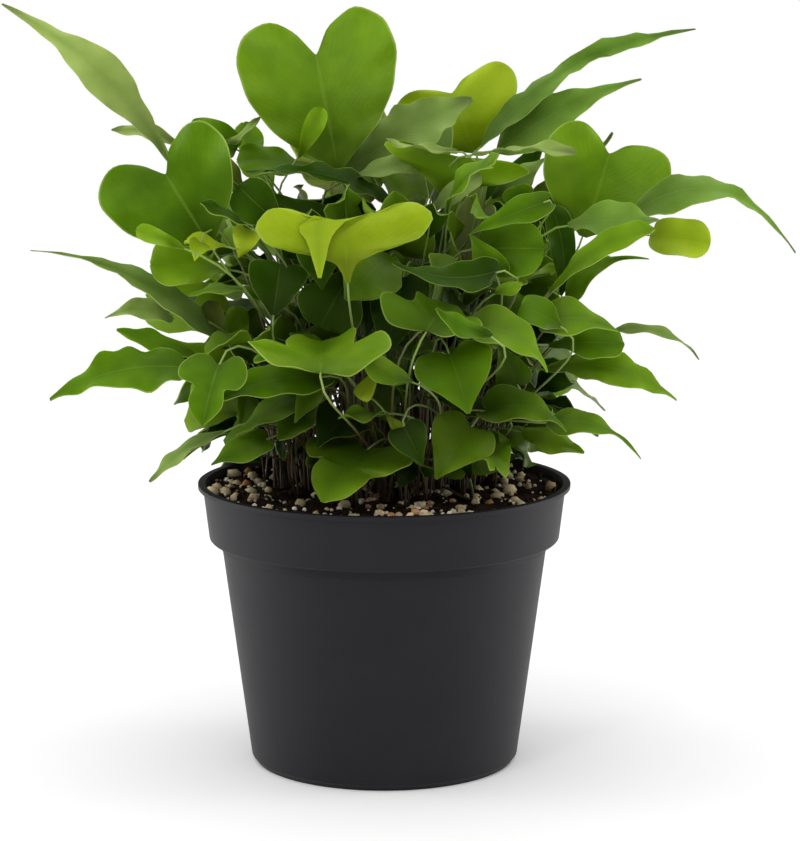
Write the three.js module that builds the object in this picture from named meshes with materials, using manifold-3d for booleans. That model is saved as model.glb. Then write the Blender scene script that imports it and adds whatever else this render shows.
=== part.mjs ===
// Potted fern: simple-bladed fronds on wiry stipes, in a 13 cm nursery pot.
// Millimetres, +Z up, origin at the centre of the pot's flat base, front of the plant towards -Y.
import * as THREE from "three";
import { mergeVertices } from "three/addons/utils/BufferGeometryUtils.js";
import Module from "manifold-3d";

const wasm = await Module();
wasm.setup();
const { Manifold, Mesh: SolidMesh } = wasm;

// Driving dimensions of the pot
const potHeight = 98;
const rimRadius = 64.5;
const rimThickness = 1.5;
const collarHeight = 19.5;
const collarRadius = 62.8;
const collarBottomRadius = 60.7;
const bodyRadius = 56.6;
const baseRadius = 46.4;
const wall = 1.2;
const baseThickness = 1.6;
const drainHoleRadius = 2.3;
const drainHoleCircle = 31;
const potSides = 32;
const soilSides = 24;

// Driving dimensions of the potting mix
const soilLevel = 93;
const seatGap = 0.3;
const granuleCount = 10;

// Driving dimensions of the fronds
const bladeThickness = 0.75;
const stipeRadius = 0.9;
const stipeBottomRadius = 1.05;
const stipeSides = 3;
const stipeStep = 34;
const nubRadius = 2.8;
const nubTopRadius = 2.7;
const nubSides = 5;
const stipeSpacing = 1.2;
const holeRadius = nubRadius + seatGap / Math.cos(Math.PI / nubSides);
const nubDepth = 9;
const nubRise = 2.2;
const clumpCentre = [0, 9];
const clumpRadii = [44, 35];
// Fronds that carry their blades low stand at the clump's edge, and the tall ones in its middle
const rootRule = [110, 215, 1, 0.2];
const clearance = 0.3;
const smallBlade = 15.1;

// The blades are set out as they are seen from this point, in the plane of the pot's axis
const eye = new THREE.Vector3(0, -1040, 294);

const tones = {
  dark: 0x2c5208, mid: 0x467a0e, bright: 0x5f960f, yellow: 0x93a91e, grey: 0x6d8d4a, olive: 0x6f7d2c,
};

// Half outlines, from the blade's base to its tip: how far out (in widths), how far along the
// midrib's direction (in lengths), and the place on the midrib that the rib starts from
const forms = {
  heart: [[0.03, 0, 0], [0.11, 0.1, 0.08], [0.34, 0.38, 0.28], [0.475, 0.72, 0.5], [0.5, 1, 0.66],
    [0.44, 1.22, 0.8], [0.29, 1.34, 0.9], [0.12, 1.24, 0.97], [0.02, 1.02, 1]],
  broad: [[0.03, 0, 0], [0.12, 0.1, 0.08], [0.36, 0.35, 0.28], [0.48, 0.64, 0.5], [0.5, 0.9, 0.66],
    [0.42, 1.12, 0.8], [0.27, 1.21, 0.9], [0.11, 1.14, 0.97], [0.02, 1.01, 1]],
  fan: [[0.03, 0, 0], [0.1, 0.28, 0.2], [0.26, 0.58, 0.46], [0.44, 0.85, 0.68], [0.5, 1, 0.8],
    [0.44, 1.08, 0.88], [0.2, 1.06, 0.95], [0.02, 1, 1]],
  tongue: [[0.02, 0, 0], [0.06, 0.12, 0.09], [0.17, 0.2, 0.16], [0.33, 0.27, 0.22], [0.46, 0.35, 0.28],
    [0.51, 0.46, 0.34], [0.45, 0.56, 0.39], [0.31, 0.59, 0.425], [0.17, 0.525, 0.46], [0.15, 0.61, 0.58],
    [0.06, 0.84, 0.8], [0.01, 1, 1]],
  spade: [[0.04, 0, 0], [0.2, -0.1, 0.03], [0.4, -0.04, 0.1], [0.5, 0.15, 0.23], [0.42, 0.42, 0.45],
    [0.23, 0.69, 0.69], [0.09, 0.88, 0.88], [0.02, 1, 1]],
  ivy: [[0.03, 0, 0], [0.16, -0.12, 0.03], [0.38, -0.1, 0.1], [0.5, 0.14, 0.2], [0.42, 0.38, 0.33],
    [0.23, 0.42, 0.43], [0.25, 0.62, 0.6], [0.15, 0.85, 0.82], [0.02, 1, 1]],
  lance: [[0.05, 0, 0], [0.28, 0.06, 0.06], [0.48, 0.18, 0.17], [0.48, 0.31, 0.3], [0.4, 0.45, 0.44],
    [0.34, 0.58, 0.57], [0.22, 0.73, 0.72], [0.1, 0.87, 0.87], [0.03, 1, 1]],
  drip: [[0.05, 0, 0], [0.3, 0.07, 0.06], [0.5, 0.2, 0.19], [0.48, 0.36, 0.35], [0.34, 0.5, 0.49],
    [0.22, 0.61, 0.61], [0.12, 0.73, 0.73], [0.06, 0.87, 0.87], [0.02, 1, 1]],
  taper: [[0.04, 0, 0], [0.11, 0.11, 0.1], [0.3, 0.28, 0.27], [0.5, 0.45, 0.44], [0.45, 0.57, 0.56],
    [0.22, 0.73, 0.72], [0.1, 0.88, 0.88], [0.02, 1, 1]],
  willow: [[0.06, 0, 0], [0.18, 0.1, 0.09], [0.36, 0.27, 0.26], [0.49, 0.46, 0.45], [0.46, 0.62, 0.61],
    [0.3, 0.78, 0.78], [0.13, 0.91, 0.91], [0.03, 1, 1]],
  spoon: [[0.05, 0, 0], [0.16, 0.14, 0.12], [0.34, 0.36, 0.32], [0.48, 0.6, 0.52], [0.48, 0.8, 0.7],
    [0.34, 0.95, 0.85], [0.05, 1.01, 1]],
  oval: [[0.13, 0, 0], [0.35, 0.05, 0.08], [0.49, 0.26, 0.27], [0.5, 0.58, 0.56], [0.41, 0.85, 0.82],
    [0.22, 0.98, 0.96], [0.03, 1.01, 1]],
};

// One blade: its form, base and tip as [across, up, depth], its width, where its upper face looks
// as [turn to the right, tilt up] in degrees, its tone, and how it bends
const blade = (form, base, tip, width, facing, tone, bends = {}) => ({
  form, base, tip, width, facing, tone, bend: 25, fold: 0.12, cup: 0, sway: 0, wave: 0, waves: 2, hook: 0,
  lean: 0, reach: 1, coarse: width < smallBlade, ...bends,
});

// The fronds that the front view shows, by the tuft that they grow from
const frontTufts = {
  top_heart: [blade("heart", [-15.7, 206, -2], [-23, 245, 6], 54, [0, 8], "mid", { cup: 0.1 })],
  upper_curled: [
    blade("spoon", [-29, 210, -10], [-21, 227, -12], 7, [10, 20], "bright", { cup: 1.2 }),
    blade("spoon", [-21, 206, 14], [-50, 209, 12], 13, [0, 50], "mid"),
  ],
  upper_left_lance: [
    blade("taper", [-72.5, 208, 8], [-129, 262, 0], 15.2, [10, 15], "bright", { sway: 0.065, wave: 0.6 }),
    blade("willow", [-70, 214, 14], [-92.7, 219.6, 12], 7, [0, 30], "bright", { sway: 0.08 }),
  ],
  left_heart: [blade("heart", [-59.5, 180, -33], [-74.5, 204.5, -28], 46, [-4, 12], "mid",
    { fold: 0.25, cup: 0.3 })],
  left_back: [
    blade("oval", [-50, 213, 15], [-66, 221, 12], 12, [0, 25], "mid"),
    blade("willow", [-54, 215, 10], [-42, 224, 8], 4.2, [-10, 30], "olive", { sway: 0.1 }),
    blade("willow", [-32, 194, 24], [-48, 199, 20], 6, [0, 30], "grey"),
  ],
  upper_folded: [
    blade("willow", [2.7, 195, -16], [-47, 205.5, -18], 12, [0, 65], "dark", { sway: 0.07 }),
    blade("spoon", [-15, 202, -12], [13, 208.6, -16], 9, [10, 40], "grey"),
  ],
  upper_shaded: [
    blade("spade", [-13, 184, -10], [-48, 199, -12], 12.5, [-5, 25], "dark"),
    blade("spade", [-46, 185.6, -30], [-50, 175.7, -34], 10, [0, 20], "yellow"),
  ],
  left_young: [
    blade("spoon", [-68.5, 179, -46], [-84.7, 185.6, -48], 6, [-10, 20], "bright", { cup: 0.6 }),
    blade("spoon", [-54, 180, -44], [-68.3, 181, -47], 5.5, [0, 50], "yellow"),
    blade("spade", [-62.8, 181.2, -48], [-65, 174.7, -50], 6.8, [0, 15], "yellow"),
  ],
  left_round: [
    blade("spoon", [-52.6, 171.6, -22], [-80, 173.6, -26], 16, [-10, 30], "bright", { cup: 0.3 }),
    blade("willow", [-41, 161, -30], [-67, 163, -34], 5.5, [0, 45], "mid", { sway: 0.12 }),
  ],
  left_shaded: [
    blade("willow", [-45, 186, -40], [-62.8, 194.6, -44], 4, [0, 60], "mid"),
    blade("spoon", [-38, 156, -40], [-35.5, 173.6, -32], 20, [0, 20], "dark", { cup: 0.8 }),
  ],
  left_drip: [
    blade("drip", [-56, 147, -20], [-121, 178.4, -26], 7.8, [-10, 40], "grey", { sway: 0.085 }),
    blade("spade", [-74, 157, -10], [-96, 155, -14], 8.6, [0, 35], "olive", { sway: 0.08, wave: 0.8 }),
  ],
  left_pair: [
    blade("willow", [-62.8, 141, -36], [-92, 151, -40], 7.5, [0, 35], "mid"),
    blade("spade", [-53.3, 137.3, -12], [-74.5, 148, -16], 10, [0, 30], "bright"),
  ],
  left_long: [
    blade("lance", [-65.6, 137.3, -42], [-115.4, 126.6, -50], 18.5, [-15, 45], "mid", { sway: 0.08, wave: 1 }),
    blade("willow", [-55.3, 115.3, -50], [-81.6, 97.8, -56], 6.4, [-10, 40], "grey", { sway: 0.06 }),
  ],
  left_hanging: [
    blade("ivy", [-57, 138.8, -58], [-62.8, 117.4, -66], 23, [-20, 20], "mid", { fold: 0.3 }),
    blade("spade", [-22, 134.5, -54], [-61, 124.6, -66], 14, [-5, 45], "mid", { sway: 0.05 }),
    blade("spade", [-27.7, 128.7, -40], [-51.6, 114.6, -48], 13, [-10, 35], "mid"),
  ],
  centre_left: [
    blade("ivy", [-22, 136, -74], [-21.5, 147, -48], 46, [0, 60], "mid", { fold: 0.45 }),
    blade("spoon", [-32, 142.8, -66], [-45, 140.4, -70], 5.5, [0, 45], "bright"),
    blade("ivy", [-6, 109, -43], [-21.4, 90.6, -62], 40, [-25, 48], "bright"),
    blade("willow", [1.4, 121.8, -50], [-16, 120, -54], 4, [0, 70], "mid"),
    blade("spoon", [0.5, 122, -54], [6, 114.6, -58], 4, [0, 30], "yellow"),
  ],
  low_centre_left: [
    blade("spade", [-23.6, 131.4, -42], [-31, 118.4, -47], 8.2, [-10, 25], "olive"),
    blade("spoon", [-11, 171, -38], [-22, 152, -42], 23, [0, 15], "dark", { bend: 40 }),
  ],
  low_left: [
    blade("spade", [-41, 112.6, -46], [-60, 103.7, -52], 10.5, [-10, 35], "mid"),
    blade("spade", [-46.4, 128.4, -26], [-50, 115.3, -32], 6.8, [0, 20], "dark"),
  ],
  left_inner: [
    blade("spoon", [-53.3, 142.8, 2], [-61, 160.6, -2], 8, [-10, 15], "olive"),
    blade("spoon", [-49.2, 143.5, -10], [-51, 159, -14], 8, [0, 10], "mid"),
  ],
  centre_tongue: [blade("tongue", [-12.5, 167, -60], [-13.6, 188.5, -57], 56.5, [-4, 20], "yellow",
    { hook: 175, reach: 0.48, bend: 20, lean: -0.2 })],
  centre_hidden: [
    blade("spade", [-22.5, 181, -46], [-21.2, 164.7, -50], 15, [0, 10], "dark"),
    blade("spade", [-4, 164, -34], [-6, 148.6, -37], 12, [0, 10], "dark"),
  ],
  low_right: [
    blade("spade", [30, 117, -46], [17.8, 98.6, -54], 22, [-10, 25], "bright"),
    blade("spoon", [29.7, 98.5, -38], [27, 108, -42], 4.4, [0, 5], "dark"),
  ],
  centre_right: [
    blade("spade", [22.5, 142.5, -58], [29.2, 121.6, -68], 26, [0, 40], "bright"),
    blade("spoon", [10, 133, -62], [-7, 140.5, -66], 8.5, [-10, 30], "bright", { sway: -0.1, cup: 0.6 }),
  ],
  centre_curl: [blade("spoon", [-1.5, 137, -58], [-8.7, 127, -63], 6.5, [-20, 15], "yellow")],
  right_long: [
    blade("lance", [39.6, 171.6, -50], [2.7, 174.3, -60], 11.5, [5, 30], "mid", { sway: -0.13 }),
    blade("spoon", [37.6, 163.3, -48], [47.5, 166.4, -52], 4.4, [0, 30], "yellow"),
  ],
  centre_lobed: [
    blade("ivy", [14.5, 150.5, -64], [22, 160, -44], 35, [0, 52], "mid", { fold: 0.3 }),
    blade("willow", [37, 148.6, -66], [17.8, 158.5, -70], 7.5, [0, 30], "bright", { sway: -0.1 }),
  ],
  right_fold: [blade("spade", [30.7, 151.7, -60], [56.4, 136.2, -68], 15, [10, 50], "bright",
    { sway: -0.18 })],
  right_low: [
    blade("spade", [35.2, 122.5, -44], [63.2, 115.3, -52], 13.5, [10, 45], "mid", { sway: -0.18 }),
    blade("spade", [36.2, 123, -40], [13.7, 127.3, -44], 8, [0, 40], "dark"),
  ],
  right_drips: [
    blade("drip", [56, 118, -36], [89, 105.7, -42], 10, [10, 40], "mid", { sway: -0.16 }),
    blade("willow", [47.5, 115.3, -32], [69.3, 107.8, -36], 9.5, [5, 30], "mid"),
  ],
  right_inner: [
    blade("spade", [45.8, 131.8, -34], [39.3, 146.2, -36], 12, [0, 10], "dark"),
    blade("spade", [6.8, 117, -46], [13.3, 103.5, -50], 13, [0, 20], "dark"),
  ],
  centre_deep: [blade("spade", [6.5, 169, -38], [0, 140, -42], 20, [0, 10], "dark")],
  top_yellow: [blade("broad", [31, 212, 36], [23, 232, 42], 47, [-5, 0], "yellow")],
  top_grey: [blade("willow", [-14.7, 204.5, 10], [30, 230, 20], 21, [-10, 30], "grey")],
  top_fan: [
    blade("fan", [22, 194.5, -12], [25, 210.5, -16], 50, [0, 12], "mid"),
    blade("willow", [25, 212, -18], [0.8, 216.6, -22], 5.5, [0, 60], "grey", { bend: -20 }),
    blade("spoon", [30, 211.5, -18], [65, 211.6, -22], 5.5, [0, 60], "grey"),
  ],
  right_centre: [
    blade("spoon", [15, 191.5, -18], [32.8, 203.8, -24], 9, [0, 30], "grey"),
    blade("spade", [55.3, 195, -34], [28.7, 183.6, -38], 9, [0, 30], "mid"),
  ],
  upper_right_lance: [blade("lance", [32.8, 213.4, 14], [105.5, 253.6, 26], 8.8, [0, 35], "grey",
    { sway: -0.09, wave: 1 })],
  upper_right_broad: [
    blade("drip", [38.6, 212, 18], [87.4, 236.7, 30], 16.5, [5, 25], "mid", { sway: -0.04 }),
    blade("willow", [37, 196, 10], [55.3, 210, 8], 7.5, [0, 20], "grey"),
  ],
  right_heart: [blade("broad", [68, 183, -12], [76.8, 211.5, -8], 44, [5, 10], "mid",
    { fold: 0.2, cup: 0.2 })],
  right_drooping: [blade("drip", [84, 190.5, -20], [141, 177.4, -14], 13.5, [5, 35], "mid",
    { sway: -0.26, wave: 0.8 })],
  right_spoons: [
    blade("willow", [62.8, 187, -30], [94, 188.8, -34], 13, [0, 38], "grey"),
    blade("spoon", [55.3, 161.3, -34], [92.2, 185.6, -40], 7.5, [20, 35], "mid", { sway: -0.09 }),
  ],
  right_curled: [
    blade("drip", [61.8, 159.2, -24], [90.8, 175.3, -30], 8.5, [15, 30], "mid", { sway: -0.18 }),
    blade("spoon", [60.8, 162.7, -17], [57, 194, -19], 9.5, [0, 5], "dark", { sway: 0.07 }),
  ],
  right_round: [
    blade("oval", [91, 183.5, 4], [111.7, 180.8, 0], 13.7, [10, 20], "yellow"),
    blade("spoon", [47, 192.5, -2], [45, 200.4, -4], 11, [0, 10], "olive"),
  ],
  right_middle: [
    blade("spoon", [60.8, 152, -40], [47, 159.2, -43], 14, [0, 40], "grey"),
    blade("spade", [56, 153.7, -38], [80.6, 150.3, -42], 14, [5, 45], "bright", { sway: -0.1 }),
  ],
  right_shaded: [
    blade("spoon", [56.7, 145.2, -30], [82.6, 146, -34], 12, [0, 40], "dark"),
    blade("willow", [79, 150.6, -24], [108.6, 140.4, -28], 3.8, [5, 35], "grey", { sway: -0.16 }),
  ],
  right_level: [blade("willow", [55, 137, -22], [101, 126.3, -28], 11.5, [0, 35], "mid", { sway: -0.11 })],
  right_disc: [
    blade("oval", [33, 179, -38], [54.5, 179, -42], 19, [0, 5], "mid", { cup: 0.3 }),
    blade("spade", [38, 170, -42], [29.4, 184, -46], 11, [0, 10], "mid"),
  ],
};

// The fronds that the front view hides, drawn by a rule: rings round the back and the sides, and
// rings inside the clump. Angles run from +X to +Y in degrees.
const hiddenRings = [
  { count: 6, arc: [-12, 192], height: 116, spread: 50, rise: -0.7, length: 30, tilt: 35 },
  { count: 6, arc: [-16, 196], height: 142, spread: 56, rise: -0.3, length: 34, tilt: 40 },
  { count: 7, arc: [-8, 188], height: 168, spread: 54, rise: 0.2, length: 34, tilt: 30 },
  { count: 6, arc: [8, 172], height: 188, spread: 46, rise: 0.7, length: 34, tilt: 15 },
  { count: 3, arc: [30, 150], height: 195, spread: 28, rise: 1.2, length: 24, tilt: 5 },
  { count: 3, arc: [0, 360], height: 132, spread: 27, rise: -0.3, length: 24, tilt: 25 },
  { count: 4, arc: [25, 385], height: 152, spread: 25, rise: 0.3, length: 26, tilt: 15 },
  { count: 4, arc: [50, 410], height: 174, spread: 22, rise: 0.8, length: 26, tilt: 10 },
];
const hiddenPerTuft = 5;
const hiddenForms = ["heart", "spade", "spoon", "lance", "heart", "ivy", "spade", "spoon"];
const hiddenTones = ["mid", "dark", "bright", "mid", "dark", "grey", "mid", "olive"];
const hiddenWidths = { heart: 36, spade: 17, spoon: 16, lance: 12, ivy: 30 };
const goldenAngle = 137.508;
const seed = 20407;

const radians = THREE.MathUtils.degToRad;

function makeDraw(start) {
  let state = start;
  return () => {
    state = (state * 1664525 + 1013904223) % 4294967296;
    return state / 4294967296;
  };
}

// A point that is seen at (across, up) in the plane of the axis, at its own depth
function sighted([across, up, depth]) {
  return new THREE.Vector3(across, 0, up).sub(eye).multiplyScalar(1 - depth / eye.y).add(eye);
}

function direction([turn, tilt]) {
  const flat = Math.cos(radians(tilt));
  return new THREE.Vector3(Math.sin(radians(turn)) * flat, -Math.cos(radians(turn)) * flat,
    Math.sin(radians(tilt)));
}

function placeBlade(row) {
  return { ...row, from: sighted(row.base), to: sighted(row.tip), face: direction(row.facing) };
}

function hiddenBlade(ring, azimuth, index, draw) {
  const outward = new THREE.Vector3(Math.cos(azimuth), Math.sin(azimuth), 0);
  const sideways = new THREE.Vector3(-outward.y, outward.x, 0);
  const form = hiddenForms[index % hiddenForms.length];
  const height = ring.height + (draw() - 0.5) * 16;
  const from = outward.clone().multiplyScalar(ring.spread * (0.85 + 0.3 * draw())).setZ(height);
  const way = outward.clone().multiplyScalar(0.4).addScaledVector(sideways, (draw() - 0.5) * 1.8)
    .setZ(ring.rise).normalize();
  const length = ring.length * (form === "lance" ? 1.5 : 0.85 + 0.3 * draw());
  const to = from.clone().addScaledVector(way, length);
  const tilt = radians(ring.tilt);
  const face = outward.clone().multiplyScalar(Math.cos(tilt)).setZ(Math.sin(tilt));
  const width = hiddenWidths[form] * (0.85 + 0.25 * draw());
  const tone = hiddenTones[Math.floor(draw() * hiddenTones.length)];
  const bends = { bend: 20 + 30 * draw(), wave: 0.8 * draw(), coarse: true };
  return { ...blade(form, null, null, width, null, tone, bends), from, to, face };
}

function hiddenTufts() {
  const draw = makeDraw(seed + 1);
  const rows = hiddenRings.flatMap(({ count, arc: [start, end], ...ring }, k) => (
    Array.from({ length: count }, (_, i) => {
      const azimuth = radians(start + ((end - start) * (i + 0.5)) / count + (draw() - 0.5) * 8);
      return { azimuth: azimuth % (2 * Math.PI), row: hiddenBlade(ring, azimuth, i * 3 + k, draw) };
    })));
  rows.sort((a, b) => a.azimuth - b.azimuth);
  const groups = [];
  while (rows.length) {
    groups.push([`ring_${groups.length + 1}`, rows.splice(0, hiddenPerTuft).map(({ row }) => row)]);
  }
  return groups;
}

// The midrib: a curve in the plane of the blade's length and face, that turns as it goes, laid so
// that its point at `reach` is the tip
const midribSteps = 24;
const hookStart = 0.46;
const hookSpan = 0.1;

const hooked = (at) => THREE.MathUtils.smoothstep(at, hookStart, hookStart + hookSpan);
const heading = (row, at) => radians(row.bend * (0.5 - at) + row.hook * hooked(at));

function layMidrib(row) {
  const points = [[0, 0]];
  for (let i = 0; i < midribSteps; i += 1) {
    const angle = heading(row, (i + 0.5) / midribSteps);
    const [along, out] = points[i];
    points.push([along + Math.cos(angle) / midribSteps, out + Math.sin(angle) / midribSteps]);
  }
  const alongAt = (at) => {
    const place = Math.min(Math.max(at, 0), 1) * midribSteps;
    const i = Math.min(Math.floor(place), midribSteps - 1);
    const part = place - i;
    return [0, 1].map((k) => points[i][k] + (points[i + 1][k] - points[i][k]) * part);
  };
  const end = alongAt(row.reach);
  const chord = row.to.clone().sub(row.from);
  const along = chord.clone().normalize();
  const normal = row.face.clone().addScaledVector(along, -row.face.dot(along)).normalize();
  const side = along.clone().cross(normal);
  return {
    along, normal, side, alongAt,
    slant: Math.atan2(end[1], end[0]),
    length: chord.length() / Math.hypot(end[0], end[1]),
  };
}

// The midrib's place and its own directions at a fraction of the blade's length
function midribFrame(row, rib, at) {
  const [u, v] = rib.alongAt(at);
  const cosine = Math.cos(rib.slant);
  const sine = Math.sin(rib.slant);
  const place = row.from.clone()
    .addScaledVector(rib.along, (u * cosine + v * sine) * rib.length)
    .addScaledVector(rib.normal, (v * cosine - u * sine) * rib.length)
    .addScaledVector(rib.side, (row.sway * 4 * at * (1 - at) + row.lean * hooked(at)) * rib.length);
  const angle = heading(row, at) - rib.slant;
  const forward = rib.along.clone().multiplyScalar(Math.cos(angle))
    .addScaledVector(rib.normal, Math.sin(angle));
  const up = rib.normal.clone().multiplyScalar(Math.cos(angle))
    .addScaledVector(rib.along, -Math.sin(angle));
  return { place, forward, up };
}

// A point of the blade: a row of its outline, a fraction across (-1 to 1), and how far below its face
function bladePoint(row, rib, outline, across, below) {
  const [out, along, from] = outline;
  const spread = Math.abs(across);
  const frame = midribFrame(row, rib, from);
  const sideways = out * across;
  const lift = row.fold * row.width * Math.abs(sideways) + row.cup * row.width * sideways * sideways
    + row.wave * 2 * Math.sin(2 * Math.PI * row.waves * along + (across > 0 ? 1.2 : 0)) * spread * spread
    * Math.min(1, out * 4);
  return frame.place
    .addScaledVector(rib.side, sideways * row.width)
    .addScaledVector(frame.forward, (along - from) * spread * rib.length)
    .addScaledVector(frame.up, lift - below);
}

// The stipe: a smooth curve from its foot up to the blade's base, met in the midrib's direction
function stipeCurve(row, rib, foot, bow) {
  const base = midribFrame(row, rib, 0);
  const rise = base.place.z - soilLevel;
  const apart = base.place.clone().sub(foot);
  const reach = apart.length();
  const sideways = new THREE.Vector3(-apart.y, apart.x, 0).normalize().multiplyScalar(bow * 6);
  const leaving = foot.clone().setZ(soilLevel + 3.5);
  const lean = new THREE.Vector3(apart.x * 0.15, apart.y * 0.15, Math.max(rise * 0.5, 8));
  const end = base.place.clone().addScaledVector(base.forward, -1.2);
  return new THREE.CubicBezierCurve3(leaving, leaving.clone().add(lean).add(sideways),
    end.clone().addScaledVector(base.forward, -Math.min(reach * 0.3, 22)).add(sideways), end);
}

// Joins two closed rings of points by triangles, by how far round each point lies
function joinRings(faces, first, firstTurns, second, secondTurns) {
  let i = 0;
  let j = 0;
  while (i < first.length || j < second.length) {
    const nextFirst = i < first.length ? firstTurns[i + 1] ?? 1 : Infinity;
    const nextSecond = j < second.length ? secondTurns[j + 1] ?? 1 : Infinity;
    const a = first[i % first.length];
    const b = second[j % second.length];
    if (nextFirst <= nextSecond) {
      faces.push([a, first[(i + 1) % first.length], b]);
      i += 1;
    } else {
      faces.push([a, second[(j + 1) % second.length], b]);
      j += 1;
    }
  }
}

// A frond as one closed mesh: a three-sided stipe that opens into a blade of even thickness
function frondMesh(row, foot, root, bow) {
  const rib = layMidrib(row);
  const points = [];
  const faces = [];
  const add = (point) => points.push(point) - 1;
  const curve = stipeCurve(row, rib, foot, bow);
  const segments = Math.ceil(curve.getLength() / stipeStep);
  const base = midribFrame(row, rib, 0);
  let right = rib.side.clone();
  const rings = [];
  const addRing = (centre, tangent, radius) => {
    right = right.addScaledVector(tangent, -right.dot(tangent)).normalize();
    const up = right.clone().cross(tangent);
    rings.push(Array.from({ length: stipeSides }, (_, k) => {
      const turn = (k * 2 * Math.PI) / stipeSides;
      return add(centre.clone().addScaledVector(right, -Math.cos(turn) * radius)
        .addScaledVector(up, Math.sin(turn) * radius));
    }));
  };
  for (let i = segments; i >= 0; i -= 1) {
    const part = i / segments;
    addRing(curve.getPoint(part), curve.getTangent(part),
      stipeBottomRadius + (stipeRadius - stipeBottomRadius) * part);
  }
  addRing(root.clone().setZ(soilLevel - 2), new THREE.Vector3(0, 0, 1), stipeBottomRadius);
  rings.reverse();
  for (let i = 0; i + 1 < rings.length; i += 1) {
    for (let k = 0; k < stipeSides; k += 1) {
      const [a, b] = [rings[i][k], rings[i][(k + 1) % stipeSides]];
      const [c, d] = [rings[i + 1][k], rings[i + 1][(k + 1) % stipeSides]];
      faces.push([a, b, c], [b, d, c]);
    }
  }
  faces.push([rings[0][0], rings[0][2], rings[0][1]]);

  const halves = row.cup * row.width > 4 ? 2 : 1;
  const outlines = forms[row.form].filter((_, i, all) => !row.coarse || i % 2 === 0 || i === all.length - 1);
  const columns = 2 * halves;
  const face = [];
  const back = [];
  for (const outline of outlines) {
    const across = Array.from({ length: columns + 1 }, (_, j) => j / halves - 1);
    face.push(across.map((q) => add(bladePoint(row, rib, outline, q, 0))));
    back.push(across.map((q) => add(bladePoint(row, rib, outline, q, bladeThickness))));
  }
  const collar = [...face[0], ...back[0].slice().reverse()];
  const collarTurns = collar.map((_, k) => (k + 0.5) / collar.length);
  collarTurns[0] = 0;
  joinRings(faces, rings.at(-1), rings[0].map((_, k) => k / stipeSides), collar, collarTurns);
  for (let i = 0; i + 1 < face.length; i += 1) {
    for (let j = 0; j < columns; j += 1) {
      const split = (sheet) => {
        const [a, b, c, d] = [sheet[i][j], sheet[i][j + 1], sheet[i + 1][j], sheet[i + 1][j + 1]];
        return j < halves ? [[a, b, d], [a, d, c]] : [[a, b, c], [b, d, c]];
      };
      faces.push(...split(face), ...split(back).map(([a, b, c]) => [a, c, b]));
    }
    faces.push([face[i][0], face[i + 1][0], back[i][0]], [back[i][0], face[i + 1][0], back[i + 1][0]]);
    const [p, q, r, s] = [face[i][columns], face[i + 1][columns], back[i][columns], back[i + 1][columns]];
    faces.push([p, r, q], [r, s, q]);
  }
  for (let j = 0; j < columns; j += 1) {
    const [a, b] = [face.at(-1)[j], face.at(-1)[j + 1]];
    const [c, d] = [back.at(-1)[j], back.at(-1)[j + 1]];
    faces.push([a, b, c], [b, d, c]);
  }
  return { points, faces };
}

function solidOf({ points, faces }) {
  return new Manifold(new SolidMesh({
    numProp: 3,
    vertProperties: Float32Array.from(points.flatMap((p) => [p.x, p.y, p.z])),
    triVerts: Uint32Array.from(faces.flat()),
  }));
}

function solidOfGeometry(geometry) {
  const bare = geometry.clone();
  bare.deleteAttribute("normal");
  bare.deleteAttribute("uv");
  const merged = mergeVertices(bare, 1e-4);
  return new Manifold(new SolidMesh({
    numProp: 3,
    vertProperties: Float32Array.from(merged.attributes.position.array),
    triVerts: Uint32Array.from(merged.index.array),
  }));
}

function geometryOf(solid) {
  const mesh = solid.getMesh();
  const geometry = new THREE.BufferGeometry();
  geometry.setAttribute("position", new THREE.BufferAttribute(Float32Array.from(mesh.vertProperties), 3));
  geometry.setIndex(new THREE.BufferAttribute(Uint32Array.from(mesh.triVerts), 1));
  geometry.computeVertexNormals();
  return geometry;
}

function lathe(profile, sides) {
  const geometry = new THREE.LatheGeometry(profile.map(([r, z]) => new THREE.Vector2(r, z)), sides);
  return geometry.rotateX(Math.PI / 2);
}

function post(radiusTop, radiusBottom, bottom, top, sides, at) {
  return new THREE.CylinderGeometry(radiusTop, radiusBottom, top - bottom, sides)
    .rotateX(Math.PI / 2).translate(at.x, at.y, (top + bottom) / 2);
}

// Inner radius of the pot's wall at a height
const collarBottom = potHeight - collarHeight;
function innerRadius(z) {
  const [low, high] = z < collarBottom ? [0, collarBottom] : [collarBottom + 1, potHeight];
  const [atLow, atHigh] = z < collarBottom ? [baseRadius, bodyRadius] : [collarBottomRadius, collarRadius];
  return atLow + ((atHigh - atLow) * (z - low)) / (high - low) - wall;
}

function makePot() {
  const edge = 1.2;
  const profile = [
    [0, 0], [baseRadius - edge, 0], [baseRadius + 0.1, edge], [bodyRadius, collarBottom],
    [collarBottomRadius, collarBottom], [collarRadius, potHeight - rimThickness],
    [rimRadius, potHeight - rimThickness], [rimRadius, potHeight - 0.4], [rimRadius - 0.4, potHeight],
    [innerRadius(potHeight) + 0.2, potHeight], [innerRadius(potHeight - 1), potHeight - 1],
    [innerRadius(collarBottom + 1), collarBottom + 1], [innerRadius(collarBottom - 0.01), collarBottom - 1.5],
    [innerRadius(baseThickness), baseThickness], [0, baseThickness],
  ];
  let pot = solidOfGeometry(lathe(profile, potSides));
  const holes = 6;
  for (let i = 0; i < holes; i += 1) {
    const turn = (i * 2 * Math.PI) / holes;
    const at = new THREE.Vector3(drainHoleCircle * Math.cos(turn), drainHoleCircle * Math.sin(turn), 0);
    pot = pot.subtract(solidOfGeometry(post(drainHoleRadius, drainHoleRadius, -1, baseThickness + 1, 6, at)));
  }
  return pot;
}

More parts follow.
